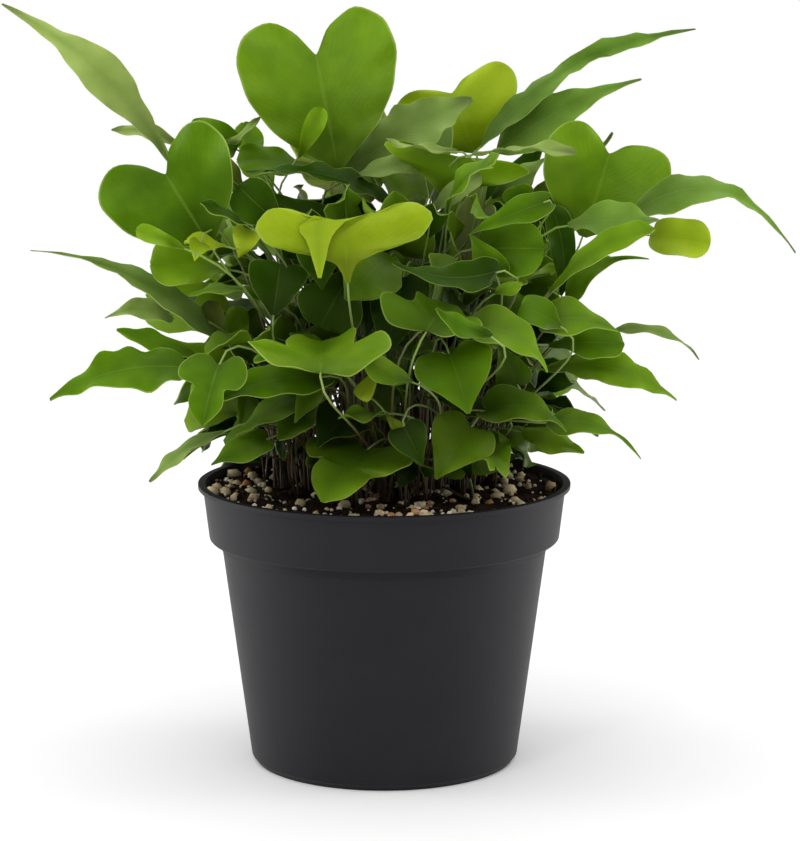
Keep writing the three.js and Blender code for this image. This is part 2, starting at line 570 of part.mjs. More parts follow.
function makeSoil(roots) {
  const profile = [
    [0, baseThickness + seatGap], [innerRadius(baseThickness) - seatGap, baseThickness + seatGap],
    [innerRadius(collarBottom - 3) - seatGap, collarBottom - 3],
    [innerRadius(collarBottom - 3) - seatGap, collarBottom + 2],
    [innerRadius(collarBottom + 2) - seatGap, collarBottom + 2.6],
    [innerRadius(soilLevel) - seatGap, soilLevel], [0, soilLevel],
  ];
  let soil = solidOfGeometry(lathe(profile, soilSides));
  const draw = makeDraw(seed);
  const lumps = [];
  while (lumps.length < granuleCount) {
    const turn = draw() * 2 * Math.PI;
    const out = 57 * Math.sqrt(0.25 + 0.75 * draw());
    const size = 1.5 + 0.9 * draw();
    const at = new THREE.Vector3(out * Math.cos(turn), out * Math.sin(turn), soilLevel + size * 0.3);
    const free = roots.every((root) => Math.hypot(root.x - at.x, root.y - at.y) > holeRadius + size + 0.8)
      && lumps.every((other) => Math.hypot(other.x - at.x, other.y - at.y) > 2 * size + 1);
    if (free) {
      lumps.push(at);
      const lump = new THREE.OctahedronGeometry(size).rotateX(draw() * 3).rotateZ(draw() * 6)
        .scale(1, 0.85, 0.75).translate(at.x, at.y, at.z);
      soil = soil.add(solidOfGeometry(lump));
    }
  }
  for (const root of roots) {
    soil = soil.subtract(solidOfGeometry(post(holeRadius, holeRadius, soilLevel - nubDepth - seatGap,
      soilLevel + 12, nubSides, root)));
  }
  return soil;
}

// Where the tufts stand: each takes the free place nearest to where its fronds lean from
function rootPlaces(tufts) {
  const free = Array.from({ length: tufts.length + 6 }, (_, i) => {
    const out = Math.sqrt((i + 0.5) / (tufts.length + 6));
    const turn = radians(i * goldenAngle);
    return new THREE.Vector3(clumpCentre[0] + clumpRadii[0] * out * Math.cos(turn),
      clumpCentre[1] + clumpRadii[1] * out * Math.sin(turn), 0);
  });
  return tufts.map(([, rows]) => {
    const from = new THREE.Vector3();
    rows.forEach((row) => from.addScaledVector(row.from, 1 / rows.length));
    const lean = new THREE.Vector3(from.x / clumpRadii[0], (from.y - clumpCentre[1]) / clumpRadii[1], 0);
    const out = Math.min(1, lean.length()) * THREE.MathUtils.mapLinear(from.z, ...rootRule);
    lean.normalize().multiplyScalar(THREE.MathUtils.clamp(out, 0, 1));
    const wanted = new THREE.Vector3(clumpCentre[0] + lean.x * clumpRadii[0],
      clumpCentre[1] + lean.y * clumpRadii[1], 0);
    free.sort((a, b) => a.distanceTo(wanted) - b.distanceTo(wanted));
    return free.shift();
  });
}

// Small side-steps that a frond may take to stay clear of the others, in depth and in its stipe's bow;
// a frond that none of them clears has no room, and is left out
const depthSteps = [0, 3, -3, 6, -6, 10, -10, 14, -14, 18];
const bowSteps = [0, 1, -1, 2, -2, 3, -3, 4, -4];
const sideSteps = depthSteps.flatMap((depth) => bowSteps.map((bow) => [depth, bow]))
  .sort((a, b) => Math.abs(a[0]) + 2 * Math.abs(a[1]) - Math.abs(b[0]) - 2 * Math.abs(b[1]));

function shifted(row, depth) {
  const moved = (point) => point.clone().sub(eye).multiplyScalar(1 + depth / (point.y - eye.y)).add(eye);
  return { ...row, from: moved(row.from), to: moved(row.to) };
}

function boxOf(solid) {
  const { min, max } = solid.boundingBox();
  return new THREE.Box3(new THREE.Vector3(...min), new THREE.Vector3(...max)).expandByScalar(clearance);
}

function makeFrond(row, foot, root, placed) {
  for (const [depth, bow] of sideSteps) {
    const solid = solidOf(frondMesh(shifted(row, depth), foot, root, bow));
    const box = boxOf(solid);
    const near = placed.filter((other) => other.box.intersectsBox(box));
    if (near.every((other) => other.solid.minGap(solid, clearance) >= clearance)) {
      return solid;
    }
  }
  return null;
}

const standard = (color, roughness) => new THREE.MeshStandardMaterial({ color, roughness, metalness: 0 });

const group = new THREE.Group();
function addMesh(name, solid, material) {
  const mesh = new THREE.Mesh(geometryOf(solid), material);
  mesh.name = name;
  group.add(mesh);
}

const tufts = Object.entries(frontTufts).map(([name, rows]) => [name, rows.map(placeBlade)]);
const widest = (rows) => Math.max(...rows.map((row) => row.width));
tufts.sort(([, a], [, b]) => widest(b) - widest(a));
tufts.push(...hiddenTufts());
const roots = rootPlaces(tufts);
const pot = makePot();
const soil = makeSoil(roots);
addMesh("pot", pot, standard(0x303032, 0.55));
addMesh("potting_mix", soil, standard(0x2a211b, 0.95));

const nubs = roots.map((root) => solidOfGeometry(
  post(nubTopRadius, nubRadius, soilLevel - nubDepth, soilLevel + nubRise, nubSides, root)));
const obstacle = (solid) => ({ solid, box: boxOf(solid) });
const placed = [obstacle(pot), obstacle(soil)];
tufts.forEach(([name, rows], index) => {
  const root = roots[index];
  const others = [...placed, ...nubs.filter((_, k) => k !== index).map(obstacle)];
  const firstTurn = Math.atan2(rows[0].from.y - root.y, rows[0].from.x - root.x);
  const fronds = rows.map((row, k) => {
    const turn = firstTurn + (k * 2 * Math.PI) / rows.length;
    const apart = rows.length > 1 ? stipeSpacing : 0;
    const foot = root.clone().add(new THREE.Vector3(Math.cos(turn) * apart, Math.sin(turn) * apart, 0));
    return makeFrond(row, foot, root, others);
  }).filter(Boolean);
  const tuft = fronds.reduce((sum, frond) => sum.add(frond), nubs[index]);
  placed.push(obstacle(tuft));
  addMesh(`fronds_${name}`, tuft, standard(tones[rows[0].tone], 0.45));
});

export default group;
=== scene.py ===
# Potted fern: glossy simple fronds on wiry stipes, in a dark nursery pot filled with peat mix.
# The CAD part is the frame; every node gets a finer piece here. Tables are in millimetres.
import math

import bmesh
import bpy
import numpy as np
from mathutils import Matrix, Vector, noise
from mathutils.bvhtree import BVHTree


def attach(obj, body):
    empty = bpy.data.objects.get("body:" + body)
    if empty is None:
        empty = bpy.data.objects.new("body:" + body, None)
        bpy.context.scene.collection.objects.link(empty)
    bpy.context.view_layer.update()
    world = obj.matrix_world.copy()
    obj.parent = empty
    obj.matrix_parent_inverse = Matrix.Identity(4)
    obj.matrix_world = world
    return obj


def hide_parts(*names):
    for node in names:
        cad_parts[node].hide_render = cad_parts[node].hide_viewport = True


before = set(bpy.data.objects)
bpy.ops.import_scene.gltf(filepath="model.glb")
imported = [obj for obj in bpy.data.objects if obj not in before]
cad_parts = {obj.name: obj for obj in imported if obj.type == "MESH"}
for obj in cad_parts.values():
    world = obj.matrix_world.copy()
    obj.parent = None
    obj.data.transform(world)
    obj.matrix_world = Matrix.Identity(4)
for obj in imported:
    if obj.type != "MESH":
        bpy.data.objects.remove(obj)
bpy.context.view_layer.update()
mm = 0.001
print("frame loaded:", len(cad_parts), "nodes")

# The rule of the fronds, the same as the frame's
soilLevel = 93
stipeSpacing = 1.2
clumpCentre = np.array([0, 9, 0])
clumpRadii = np.array([44, 35, 0])
rootRule = (110, 215, 1, 0.2)
smallBlade = 15.1
hookStart = 0.46
hookSpan = 0.1
stipeRadius = 0.9
stipeBottomRadius = 1.05
stipeStep = 34
stipePath = {
    "leaves": 3.5, "lean": 0.15, "rise": 0.5, "leastRise": 8, "bow": 6, "ends": 1.2, "reach": 0.3,
    "mostReach": 22,
}
frameSteps = 24
midribSteps = 96
eye = np.array([0.0, -1040.0, 294.0])
seed = 20407
goldenAngle = math.radians(137.508)

# Half outlines from the blade's base to its tip: how far out, how far along, and from where on the midrib
forms = {
    "heart": [[0.03, 0, 0], [0.11, 0.1, 0.08], [0.34, 0.38, 0.28], [0.475, 0.72, 0.5], [0.5, 1, 0.66],
        [0.44, 1.22, 0.8], [0.29, 1.34, 0.9], [0.12, 1.24, 0.97], [0.02, 1.02, 1]],
    "broad": [[0.03, 0, 0], [0.12, 0.1, 0.08], [0.36, 0.35, 0.28], [0.48, 0.64, 0.5], [0.5, 0.9, 0.66],
        [0.42, 1.12, 0.8], [0.27, 1.21, 0.9], [0.11, 1.14, 0.97], [0.02, 1.01, 1]],
    "fan": [[0.03, 0, 0], [0.1, 0.28, 0.2], [0.26, 0.58, 0.46], [0.44, 0.85, 0.68], [0.5, 1, 0.8],
        [0.44, 1.08, 0.88], [0.2, 1.06, 0.95], [0.02, 1, 1]],
    "tongue": [[0.012, 0, 0], [0.04, 0.11, 0.09], [0.15, 0.2, 0.16], [0.33, 0.27, 0.22], [0.46, 0.35, 0.28],
        [0.51, 0.46, 0.34], [0.45, 0.56, 0.39], [0.31, 0.59, 0.425], [0.17, 0.525, 0.46], [0.12, 0.6, 0.56],
        [0.07, 0.69, 0.66], [0.04, 0.84, 0.82], [0.01, 1, 1]],
    "spade": [[0.04, 0, 0], [0.2, -0.1, 0.03], [0.4, -0.04, 0.1], [0.5, 0.15, 0.23], [0.42, 0.42, 0.45],
        [0.23, 0.69, 0.69], [0.09, 0.88, 0.88], [0.02, 1, 1]],
    "ivy": [[0.03, 0, 0], [0.16, -0.12, 0.03], [0.38, -0.1, 0.1], [0.5, 0.14, 0.2], [0.42, 0.38, 0.33],
        [0.23, 0.42, 0.43], [0.25, 0.62, 0.6], [0.15, 0.85, 0.82], [0.02, 1, 1]],
    "lance": [[0.05, 0, 0], [0.28, 0.06, 0.06], [0.48, 0.18, 0.17], [0.48, 0.31, 0.3], [0.4, 0.45, 0.44],
        [0.34, 0.58, 0.57], [0.22, 0.73, 0.72], [0.1, 0.87, 0.87], [0.03, 1, 1]],
    "drip": [[0.05, 0, 0], [0.3, 0.07, 0.06], [0.5, 0.2, 0.19], [0.48, 0.36, 0.35], [0.34, 0.5, 0.49],
        [0.22, 0.61, 0.61], [0.12, 0.73, 0.73], [0.06, 0.87, 0.87], [0.02, 1, 1]],
    "taper": [[0.04, 0, 0], [0.11, 0.11, 0.1], [0.3, 0.28, 0.27], [0.5, 0.45, 0.44], [0.45, 0.57, 0.56],
        [0.22, 0.73, 0.72], [0.1, 0.88, 0.88], [0.02, 1, 1]],
    "willow": [[0.06, 0, 0], [0.18, 0.1, 0.09], [0.36, 0.27, 0.26], [0.49, 0.46, 0.45], [0.46, 0.62, 0.61],
        [0.3, 0.78, 0.78], [0.13, 0.91, 0.91], [0.03, 1, 1]],
    "spoon": [[0.05, 0, 0], [0.16, 0.14, 0.12], [0.34, 0.36, 0.32], [0.48, 0.6, 0.52], [0.48, 0.8, 0.7],
        [0.34, 0.95, 0.85], [0.05, 1.01, 1]],
    "oval": [[0.13, 0, 0], [0.35, 0.05, 0.08], [0.49, 0.26, 0.27], [0.5, 0.58, 0.56], [0.41, 0.85, 0.82],
        [0.22, 0.98, 0.96], [0.03, 1.01, 1]],
}


def blade(form, base, tip, width, facing, tone, **bends):
    return {
        "form": form, "base": base, "tip": tip, "width": width, "facing": facing, "tone": tone, "bend": 25,
        "fold": 0.12, "cup": 0, "sway": 0, "wave": 0, "waves": 2, "hook": 0, "lean": 0, "reach": 1,
        "nudge": 0, "coarse": width < smallBlade, **bends,
    }


# The fronds seen from the front: form, base and tip (across, up, depth), width, (turn, tilt), tone
frontTufts = {
    "top_heart": [blade("heart", (-15.7, 206, -2), (-23, 245, 6), 54, (0, 8), "mid", cup=0.1)],
    "upper_curled": [
        blade("spoon", (-29, 210, -10), (-21, 227, -12), 7, (10, 20), "bright", cup=1.2),
        blade("spoon", (-21, 206, 14), (-50, 209, 12), 13, (0, 50), "mid"),
    ],
    "upper_left_lance": [
        blade("taper", (-72.5, 208, 8), (-129, 262, 0), 15.2, (10, 15), "pale", sway=0.065, wave=0.6),
        blade("willow", (-70, 214, 14), (-92.7, 219.6, 12), 7, (0, 30), "pale", sway=0.08),
    ],
    "left_heart": [blade("heart", (-59.5, 180, -33), (-74.5, 204.5, -28), 46, (-4, 12), "deep",
        fold=0.25, cup=0.3)],
    "left_back": [
        blade("oval", (-50, 213, 15), (-66, 221, 12), 12, (0, 25), "deep"),
        blade("willow", (-54, 215, 10), (-42, 224, 8), 4.2, (-10, 30), "pale", sway=0.1),
        blade("willow", (-32, 194, 24), (-48, 199, 20), 6, (0, 30), "grey"),
    ],
    "upper_folded": [
        blade("willow", (2.7, 195, -16), (-47, 205.5, -18), 12, (0, 65), "dark", sway=0.07),
        blade("spoon", (-15, 202, -12), (13, 208.6, -16), 9, (10, 40), "grey"),
    ],
    "upper_shaded": [
        blade("spade", (-13, 184, -10), (-48, 199, -12), 12.5, (-5, 25), "dark"),
        blade("spade", (-46, 185.6, -30), (-50, 175.7, -34), 10, (0, 20), "yellow"),
    ],
    "left_young": [
        blade("spoon", (-68.5, 179, -46), (-84.7, 185.6, -48), 6, (-10, 20), "bright", cup=0.6),
        blade("spoon", (-54, 180, -44), (-68.3, 181, -47), 5.5, (0, 50), "yellow", nudge=-9),
        blade("spade", (-62.8, 181.2, -48), (-65, 174.7, -50), 6.8, (0, 15), "yellow", nudge=-10),
    ],
    "left_round": [
        blade("spoon", (-52.6, 171.6, -22), (-80, 173.6, -26), 16, (-10, 30), "bright", cup=0.3),
        blade("willow", (-41, 161, -30), (-67, 163, -34), 5.5, (0, 45), "mid", sway=0.12),
    ],
    "left_shaded": [
        blade("willow", (-45, 186, -40), (-62.8, 194.6, -44), 4, (0, 60), "dark"),
        blade("spoon", (-38, 156, -40), (-35.5, 173.6, -32), 20, (0, 20), "dark", cup=0.8),
    ],
    "left_drip": [
        blade("drip", (-56, 147, -20), (-121, 178.4, -26), 7.8, (-10, 40), "grey", sway=0.085),
        blade("spade", (-74, 157, -10), (-96, 155, -14), 8.6, (0, 35), "pale", sway=0.08, wave=0.8),
    ],
    "left_pair": [
        blade("willow", (-62.8, 141, -36), (-92, 151, -40), 7.5, (0, 35), "deep"),
        blade("spade", (-53.3, 137.3, -12), (-74.5, 148, -16), 10, (0, 30), "bright"),
    ],
    "left_long": [
        blade("lance", (-65.6, 137.3, -42), (-115.4, 126.6, -50), 18.5, (-15, 45), "deep", nudge=-1.5,
            sway=0.08, wave=1),
        blade("willow", (-55.3, 115.3, -50), (-81.6, 97.8, -56), 6.4, (-10, 40), "grey", sway=0.06),
    ],
    "left_hanging": [
        blade("ivy", (-57, 138.8, -58), (-62.8, 117.4, -66), 23, (-20, 20), "deep", nudge=-4, fold=0.3),
        blade("spade", (-22, 134.5, -54), (-61, 124.6, -66), 14, (-5, 45), "deep", sway=0.05),
        blade("spade", (-27.7, 128.7, -40), (-51.6, 114.6, -48), 13, (-10, 35), "mid"),
    ],
    "centre_left": [
        blade("ivy", (-22, 136, -74), (-21.5, 147, -48), 46, (0, 60), "bright", fold=0.45),
        blade("spoon", (-32, 142.8, -66), (-45, 140.4, -70), 5.5, (0, 45), "deep"),
        blade("ivy", (-6, 109, -43), (-21.4, 90.6, -62), 40, (-25, 48), "bright"),
        blade("willow", (1.4, 121.8, -50), (-16, 120, -54), 4, (0, 70), "mid"),
        blade("spoon", (0.5, 122, -54), (6, 114.6, -58), 4, (0, 30), "yellow"),
    ],
    "low_centre_left": [
        blade("spade", (-23.6, 131.4, -42), (-31, 118.4, -47), 8.2, (-10, 25), "mid"),
        blade("spoon", (-11, 171, -38), (-22, 152, -42), 23, (0, 15), "dark", bend=40),
    ],
    "low_left": [
        blade("spade", (-41, 112.6, -46), (-60, 103.7, -52), 10.5, (-10, 35), "mid"),
        blade("spade", (-46.4, 128.4, -26), (-50, 115.3, -32), 6.8, (0, 20), "mid"),
    ],
    "left_inner": [
        blade("spoon", (-53.3, 142.8, 2), (-61, 160.6, -2), 8, (-10, 15), "olive"),
        blade("spoon", (-49.2, 143.5, -10), (-51, 159, -14), 8, (0, 10), "mid"),
    ],
    "centre_tongue": [blade("tongue", (-12.5, 167, -60), (-13.6, 188.5, -57), 56.5, (-4, 20), "yellow",
        hook=175, reach=0.48, bend=20, lean=-0.2)],
    "centre_hidden": [
        blade("spade", (-22.5, 181, -46), (-21.2, 164.7, -50), 15, (0, 10), "dark"),
        blade("spade", (-4, 164, -34), (-6, 148.6, -37), 12, (0, 10), "dark"),
    ],
    "low_right": [
        blade("spade", (30, 117, -46), (17.8, 98.6, -54), 22, (-10, 25), "bright"),
        blade("spoon", (29.7, 98.5, -38), (27, 108, -42), 4.4, (0, 5), "dark", nudge=4),
    ],
    "centre_right": [
        blade("spade", (22.5, 142.5, -58), (29.2, 121.6, -68), 26, (0, 40), "deep"),
        blade("spoon", (10, 133, -62), (-7, 140.5, -66), 8.5, (-10, 30), "bright", sway=-0.1, cup=0.6),
    ],
    "centre_curl": [blade("spoon", (-1.5, 137, -58), (-8.7, 127, -63), 6.5, (-20, 15), "yellow", nudge=-3)],
    "right_long": [
        blade("lance", (39.6, 171.6, -50), (2.7, 174.3, -60), 11.5, (5, 30), "dark", sway=-0.13),
        blade("spoon", (37.6, 163.3, -48), (47.5, 166.4, -52), 4.4, (0, 30), "bright"),
    ],
    "centre_lobed": [
        blade("ivy", (14.5, 150.5, -64), (22, 160, -44), 35, (0, 52), "deep", fold=0.3),
        blade("willow", (37, 148.6, -66), (17.8, 158.5, -70), 7.5, (0, 30), "deep", nudge=-5, sway=-0.1),
    ],
    "right_fold": [blade("spade", (30.7, 151.7, -60), (56.4, 136.2, -68), 15, (10, 50), "mid",
        sway=-0.18)],
    "right_low": [
        blade("spade", (35.2, 122.5, -44), (63.2, 115.3, -52), 13.5, (10, 45), "mid", sway=-0.18),
        blade("spade", (36.2, 123, -40), (13.7, 127.3, -44), 8, (0, 40), "dark", nudge=5.5),
    ],
    "right_drips": [
        blade("drip", (56, 118, -36), (89, 105.7, -42), 10, (10, 40), "mid", sway=-0.16),
        blade("willow", (47.5, 115.3, -32), (69.3, 107.8, -36), 9.5, (5, 30), "bright"),
    ],
    "right_inner": [
        blade("spade", (45.8, 131.8, -34), (39.3, 146.2, -36), 12, (0, 10), "deep"),
        blade("spade", (6.8, 117, -46), (13.3, 103.5, -50), 13, (0, 20), "dark"),
    ],
    "centre_deep": [blade("spade", (6.5, 169, -38), (0, 140, -42), 20, (0, 10), "dark")],
    "top_yellow": [blade("broad", (31, 212, 36), (23, 232, 42), 47, (-5, 0), "yellow")],
    "top_grey": [blade("willow", (-14.7, 204.5, 10), (30, 230, 20), 21, (-10, 30), "grey")],
    "top_fan": [
        blade("fan", (22, 194.5, -12), (25, 210.5, -16), 50, (0, 12), "bright"),
        blade("willow", (25, 212, -18), (0.8, 216.6, -22), 5.5, (0, 60), "pale", nudge=-1.5, bend=-20),
        blade("spoon", (30, 211.5, -18), (65, 211.6, -22), 5.5, (0, 60), "pale"),
    ],
    "right_centre": [
        blade("spoon", (15, 191.5, -18), (32.8, 203.8, -24), 9, (0, 30), "grey"),
        blade("spade", (55.3, 195, -34), (28.7, 183.6, -38), 9, (0, 30), "deep"),
    ],
    "upper_right_lance": [blade("lance", (32.8, 213.4, 14), (105.5, 253.6, 26), 8.8, (0, 35), "leaf",
        sway=-0.09, wave=1)],
    "upper_right_broad": [
        blade("drip", (38.6, 212, 18), (87.4, 236.7, 30), 16.5, (5, 25), "leaf", sway=-0.04),
        blade("willow", (37, 196, 10), (55.3, 210, 8), 7.5, (0, 20), "grey"),
    ],
    "right_heart": [blade("broad", (68, 183, -12), (76.8, 211.5, -8), 44, (5, 10), "mid",
        fold=0.2, cup=0.2)],
    "right_drooping": [blade("drip", (84, 190.5, -20), (141, 177.4, -14), 13.5, (5, 35), "leaf",
        sway=-0.26, wave=0.8)],
    "right_spoons": [
        blade("willow", (62.8, 187, -30), (94, 188.8, -34), 13, (0, 38), "leaf"),
        blade("spoon", (55.3, 161.3, -34), (92.2, 185.6, -40), 7.5, (20, 35), "mid", sway=-0.09),
    ],
    "right_curled": [
        blade("drip", (61.8, 159.2, -24), (90.8, 175.3, -30), 8.5, (15, 30), "mid", sway=-0.18),
        blade("spoon", (60.8, 162.7, -17), (57, 194, -19), 9.5, (0, 5), "dark", sway=0.07),
    ],
    "right_round": [
        blade("oval", (91, 183.5, 4), (111.7, 180.8, 0), 13.7, (10, 20), "lemon"),
        blade("spoon", (47, 192.5, -2), (45, 200.4, -4), 11, (0, 10), "deep"),
    ],
    "right_middle": [
        blade("spoon", (60.8, 152, -40), (47, 159.2, -43), 14, (0, 40), "deep", nudge=-3),
        blade("spade", (56, 153.7, -38), (80.6, 150.3, -42), 14, (5, 45), "mid", sway=-0.1),
    ],
    "right_shaded": [
        blade("spoon", (56.7, 145.2, -30), (82.6, 146, -34), 12, (0, 40), "deep"),
        blade("willow", (79, 150.6, -24), (108.6, 140.4, -28), 3.8, (5, 35), "grey", sway=-0.16),
    ],
    "right_level": [blade("willow", (55, 137, -22), (101, 126.3, -28), 11.5, (0, 35), "mid", sway=-0.11)],
    "right_disc": [
        blade("oval", (33, 179, -38), (54.5, 179, -42), 19, (0, 5), "deep", cup=0.3),
        blade("spade", (38, 170, -42), (29.4, 184, -46), 11, (0, 10), "deep", nudge=-3),
    ],
}
# Rings of fronds behind and inside the clump
ringKeys = ("count", "arc", "height", "spread", "rise", "length", "tilt")
hiddenRings = [dict(zip(ringKeys, values)) for values in (
    (6, (-12, 192), 116, 50, -0.7, 30, 35),
    (6, (-16, 196), 142, 56, -0.3, 34, 40),
    (7, (-8, 188), 168, 54, 0.2, 34, 30),
    (6, (8, 172), 188, 46, 0.7, 34, 15),
    (3, (30, 150), 195, 28, 1.2, 24, 5),
    (3, (0, 360), 132, 27, -0.3, 24, 25),
    (4, (25, 385), 152, 25, 0.3, 26, 15),
    (4, (50, 410), 174, 22, 0.8, 26, 10),
)]
hiddenPerTuft = 5
hiddenForms = ["heart", "spade", "spoon", "lance", "heart", "ivy", "spade", "spoon"]
hiddenTones = ["mid", "dark", "bright", "mid", "dark", "grey", "mid", "olive"]
hiddenWidths = {"heart": 36, "spade": 17, "spoon": 16, "lance": 12, "ivy": 30}


# A repeatable draw of numbers from 0 to 1
def makeDraw(start):
    state = start

    def draw():
        nonlocal state
        state = (state * 1664525 + 1013904223) % 4294967296
        return state / 4294967296

    return draw


def unit(vector):
    return vector / np.linalg.norm(vector)


def levelAt(turn):
    return np.array([math.cos(turn), math.sin(turn), 0])


def squareTo(way):
    return np.array([-way[1], way[0], 0])


def tilted(level, tilt):
    return level * math.cos(tilt) + np.array([0, 0, math.sin(tilt)])


def sighted(point):
    across, up, depth = point
    return (np.array([across, 0.0, up]) - eye) * (1 - depth / eye[1]) + eye


def placeBlade(row):
    turn, tilt = (math.radians(angle) for angle in row["facing"])
    facing = tilted(np.array([math.sin(turn), -math.cos(turn), 0]), tilt)
    return {**row, "base": sighted(row["base"]), "tip": sighted(row["tip"]), "facing": facing}


def hiddenBlade(ring, azimuth, index, draw):
    outward = levelAt(azimuth)
    form = hiddenForms[index % len(hiddenForms)]
    height = ring["height"] + (draw() - 0.5) * 16
    start = outward * ring["spread"] * (0.85 + 0.3 * draw())
    start[2] = height
    way = outward * 0.4 + squareTo(outward) * (draw() - 0.5) * 1.8
    way[2] = ring["rise"]
    length = ring["length"] * (1.5 if form == "lance" else 0.85 + 0.3 * draw())
    face = tilted(outward, math.radians(ring["tilt"]))
    width = hiddenWidths[form] * (0.85 + 0.25 * draw())
    tone = hiddenTones[int(draw() * len(hiddenTones))]
    return blade(form, start, start + unit(way) * length, width, face, tone, bend=20 + 30 * draw(),
                 wave=0.8 * draw(), coarse=True)


def hiddenTufts():
    draw = makeDraw(seed + 1)
    rows = []
    for k, ring in enumerate(hiddenRings):
        start, end = ring["arc"]
        for i in range(ring["count"]):
            azimuth = math.radians(start + (end - start) * (i + 0.5) / ring["count"] + (draw() - 0.5) * 8)
            rows.append((math.fmod(azimuth, 2 * math.pi), hiddenBlade(ring, azimuth, i * 3 + k, draw)))
    rows.sort(key=lambda pair: pair[0])
    blades = [row for _, row in rows]
    groups = [blades[i:i + hiddenPerTuft] for i in range(0, len(blades), hiddenPerTuft)]
    return [(f"ring_{i + 1}", group) for i, group in enumerate(groups)]


def rootPlaces(tufts):
    count = len(tufts) + 6
    free = []
    for i in range(count):
        out = math.sqrt((i + 0.5) / count)
        free.append(clumpCentre + clumpRadii * out * levelAt(i * goldenAngle))
    low, high, atLow, atHigh = rootRule
    places = []
    for _, rows in tufts:
        start = sum(row["base"] for row in rows) / len(rows)
        lean = (start - clumpCentre)[:2] / clumpRadii[:2]
        out = min(1, np.linalg.norm(lean)) * (atLow + (start[2] - low) * (atHigh - atLow) / (high - low))
        lean = unit(lean) * min(max(out, 0), 1)
        wanted = clumpCentre + clumpRadii * [*lean, 0]
        free.sort(key=lambda place: np.linalg.norm(place - wanted))
        places.append(free.pop(0))
    return places


# The midrib turns as it goes, and is laid so that its point at "reach" is the tip
def hooked(at):
    part = np.clip((at - hookStart) / hookSpan, 0, 1)
    return part * part * (3 - 2 * part)


def heading(row, at):
    return np.radians(row["bend"] * (0.5 - at) + row["hook"] * hooked(at))


def layMidrib(row, steps):
    angle = heading(row, (np.arange(steps) + 0.5) / steps)
    u = np.concatenate([[0], np.cumsum(np.cos(angle))]) / steps
    v = np.concatenate([[0], np.cumsum(np.sin(angle))]) / steps
    places = np.linspace(0, 1, steps + 1)
    end = np.interp(row["reach"], places, u), np.interp(row["reach"], places, v)
    chord = row["tip"] - row["base"]
    along = unit(chord)
    normal = unit(row["facing"] - along * np.dot(row["facing"], along))
    return {
        "along": along, "normal": normal, "side": np.cross(along, normal), "places": places, "u": u, "v": v,
        "slant": math.atan2(end[1], end[0]), "length": np.linalg.norm(chord) / math.hypot(*end),
    }


def midribFrame(row, rib, at):
    at = np.atleast_1d(np.asarray(at, float))
    u = np.interp(at, rib["places"], rib["u"])[:, None]
    v = np.interp(at, rib["places"], rib["v"])[:, None]
    cosine, sine = math.cos(rib["slant"]), math.sin(rib["slant"])
    aside = (row["sway"] * 4 * at * (1 - at) + row["lean"] * hooked(at))[:, None]
    place = row["base"] + rib["length"] * (rib["along"] * (u * cosine + v * sine)
                                           + rib["normal"] * (v * cosine - u * sine) + rib["side"] * aside)
    angle = (heading(row, at) - rib["slant"])[:, None]
    forward = rib["along"] * np.cos(angle) + rib["normal"] * np.sin(angle)
    up = rib["normal"] * np.cos(angle) - rib["along"] * np.sin(angle)
    return place, forward, up


def bladePoints(row, rib, outline, across, below=0.0, crease=0.0):
    out, along, start = outline
    place, forward, up = midribFrame(row, rib, start)
    spread = np.abs(across)
    sideways = out * across
    width = row["width"]
    valley = np.sqrt(sideways ** 2 + crease ** 2) - crease
    wave = row["wave"] * 2 * np.sin(2 * math.pi * row["waves"] * along + np.where(across > 0, 1.2, 0.0))
    lift = (row["fold"] * width * valley + row["cup"] * width * sideways ** 2
            + wave * spread ** 2 * np.minimum(1, out * 4))
    return (place + rib["side"] * (sideways * width)[:, None]
            + forward * ((along - start) * spread * rib["length"])[:, None] + up * (lift - below)[:, None])


def stipeControls(row, rib, foot, bow):
    base, forward = (part[0] for part in midribFrame(row, rib, 0)[:2])
    apart, path = base - foot, stipePath
    sideways = unit(squareTo(apart)) * bow * path["bow"]
    leaving = np.array([*foot[:2], soilLevel + path["leaves"]])
    rise = max((base[2] - soilLevel) * path["rise"], path["leastRise"])
    lean = np.array([*apart[:2] * path["lean"], rise])
    end = base - forward * path["ends"]
    reach = min(np.linalg.norm(apart) * path["reach"], path["mostReach"])
    return np.array([leaving, leaving + lean + sideways, end - forward * reach + sideways, end])


def bezier(controls, part):
    t = np.atleast_1d(part)[:, None]
    a, b, c, d = controls
    return a * (1 - t) ** 3 + b * 3 * t * (1 - t) ** 2 + c * 3 * t * t * (1 - t) + d * t ** 3


# Each frond took a small side-step in the frame to stay clear of the others; it is read off there
depthSteps = [0, 3, -3, 6, -6, 10, -10, 14, -14, 18]
bowSteps = [0, 1, -1, 2, -2, 3, -3, 4, -4]


def shifted(row, depth):
    def moved(point):
        return (point - eye) * (1 + depth / (point[1] - eye[1])) + eye

    return {**row, "base": moved(row["base"]), "tip": moved(row["tip"])}


def shareFound(expected, points, within=0.2):
    gaps = np.linalg.norm(expected[:, None, :] - points[None, :, :], axis=2).min(axis=1)
    return float((gaps < within).mean())


def frameBlade(row):
    rib = layMidrib(row, frameSteps)
    outlines = forms[row["form"]]
    kept = [o for i, o in enumerate(outlines) if not row["coarse"] or i % 2 == 0 or i == len(outlines) - 1]
    columns = np.linspace(-1, 1, 5 if row["cup"] * row["width"] > 4 else 3)
    grid = np.array([[*outline, q] for outline in kept for q in columns])
    return bladePoints(row, rib, (grid[:, 0], grid[:, 1], grid[:, 2]), grid[:, 3])


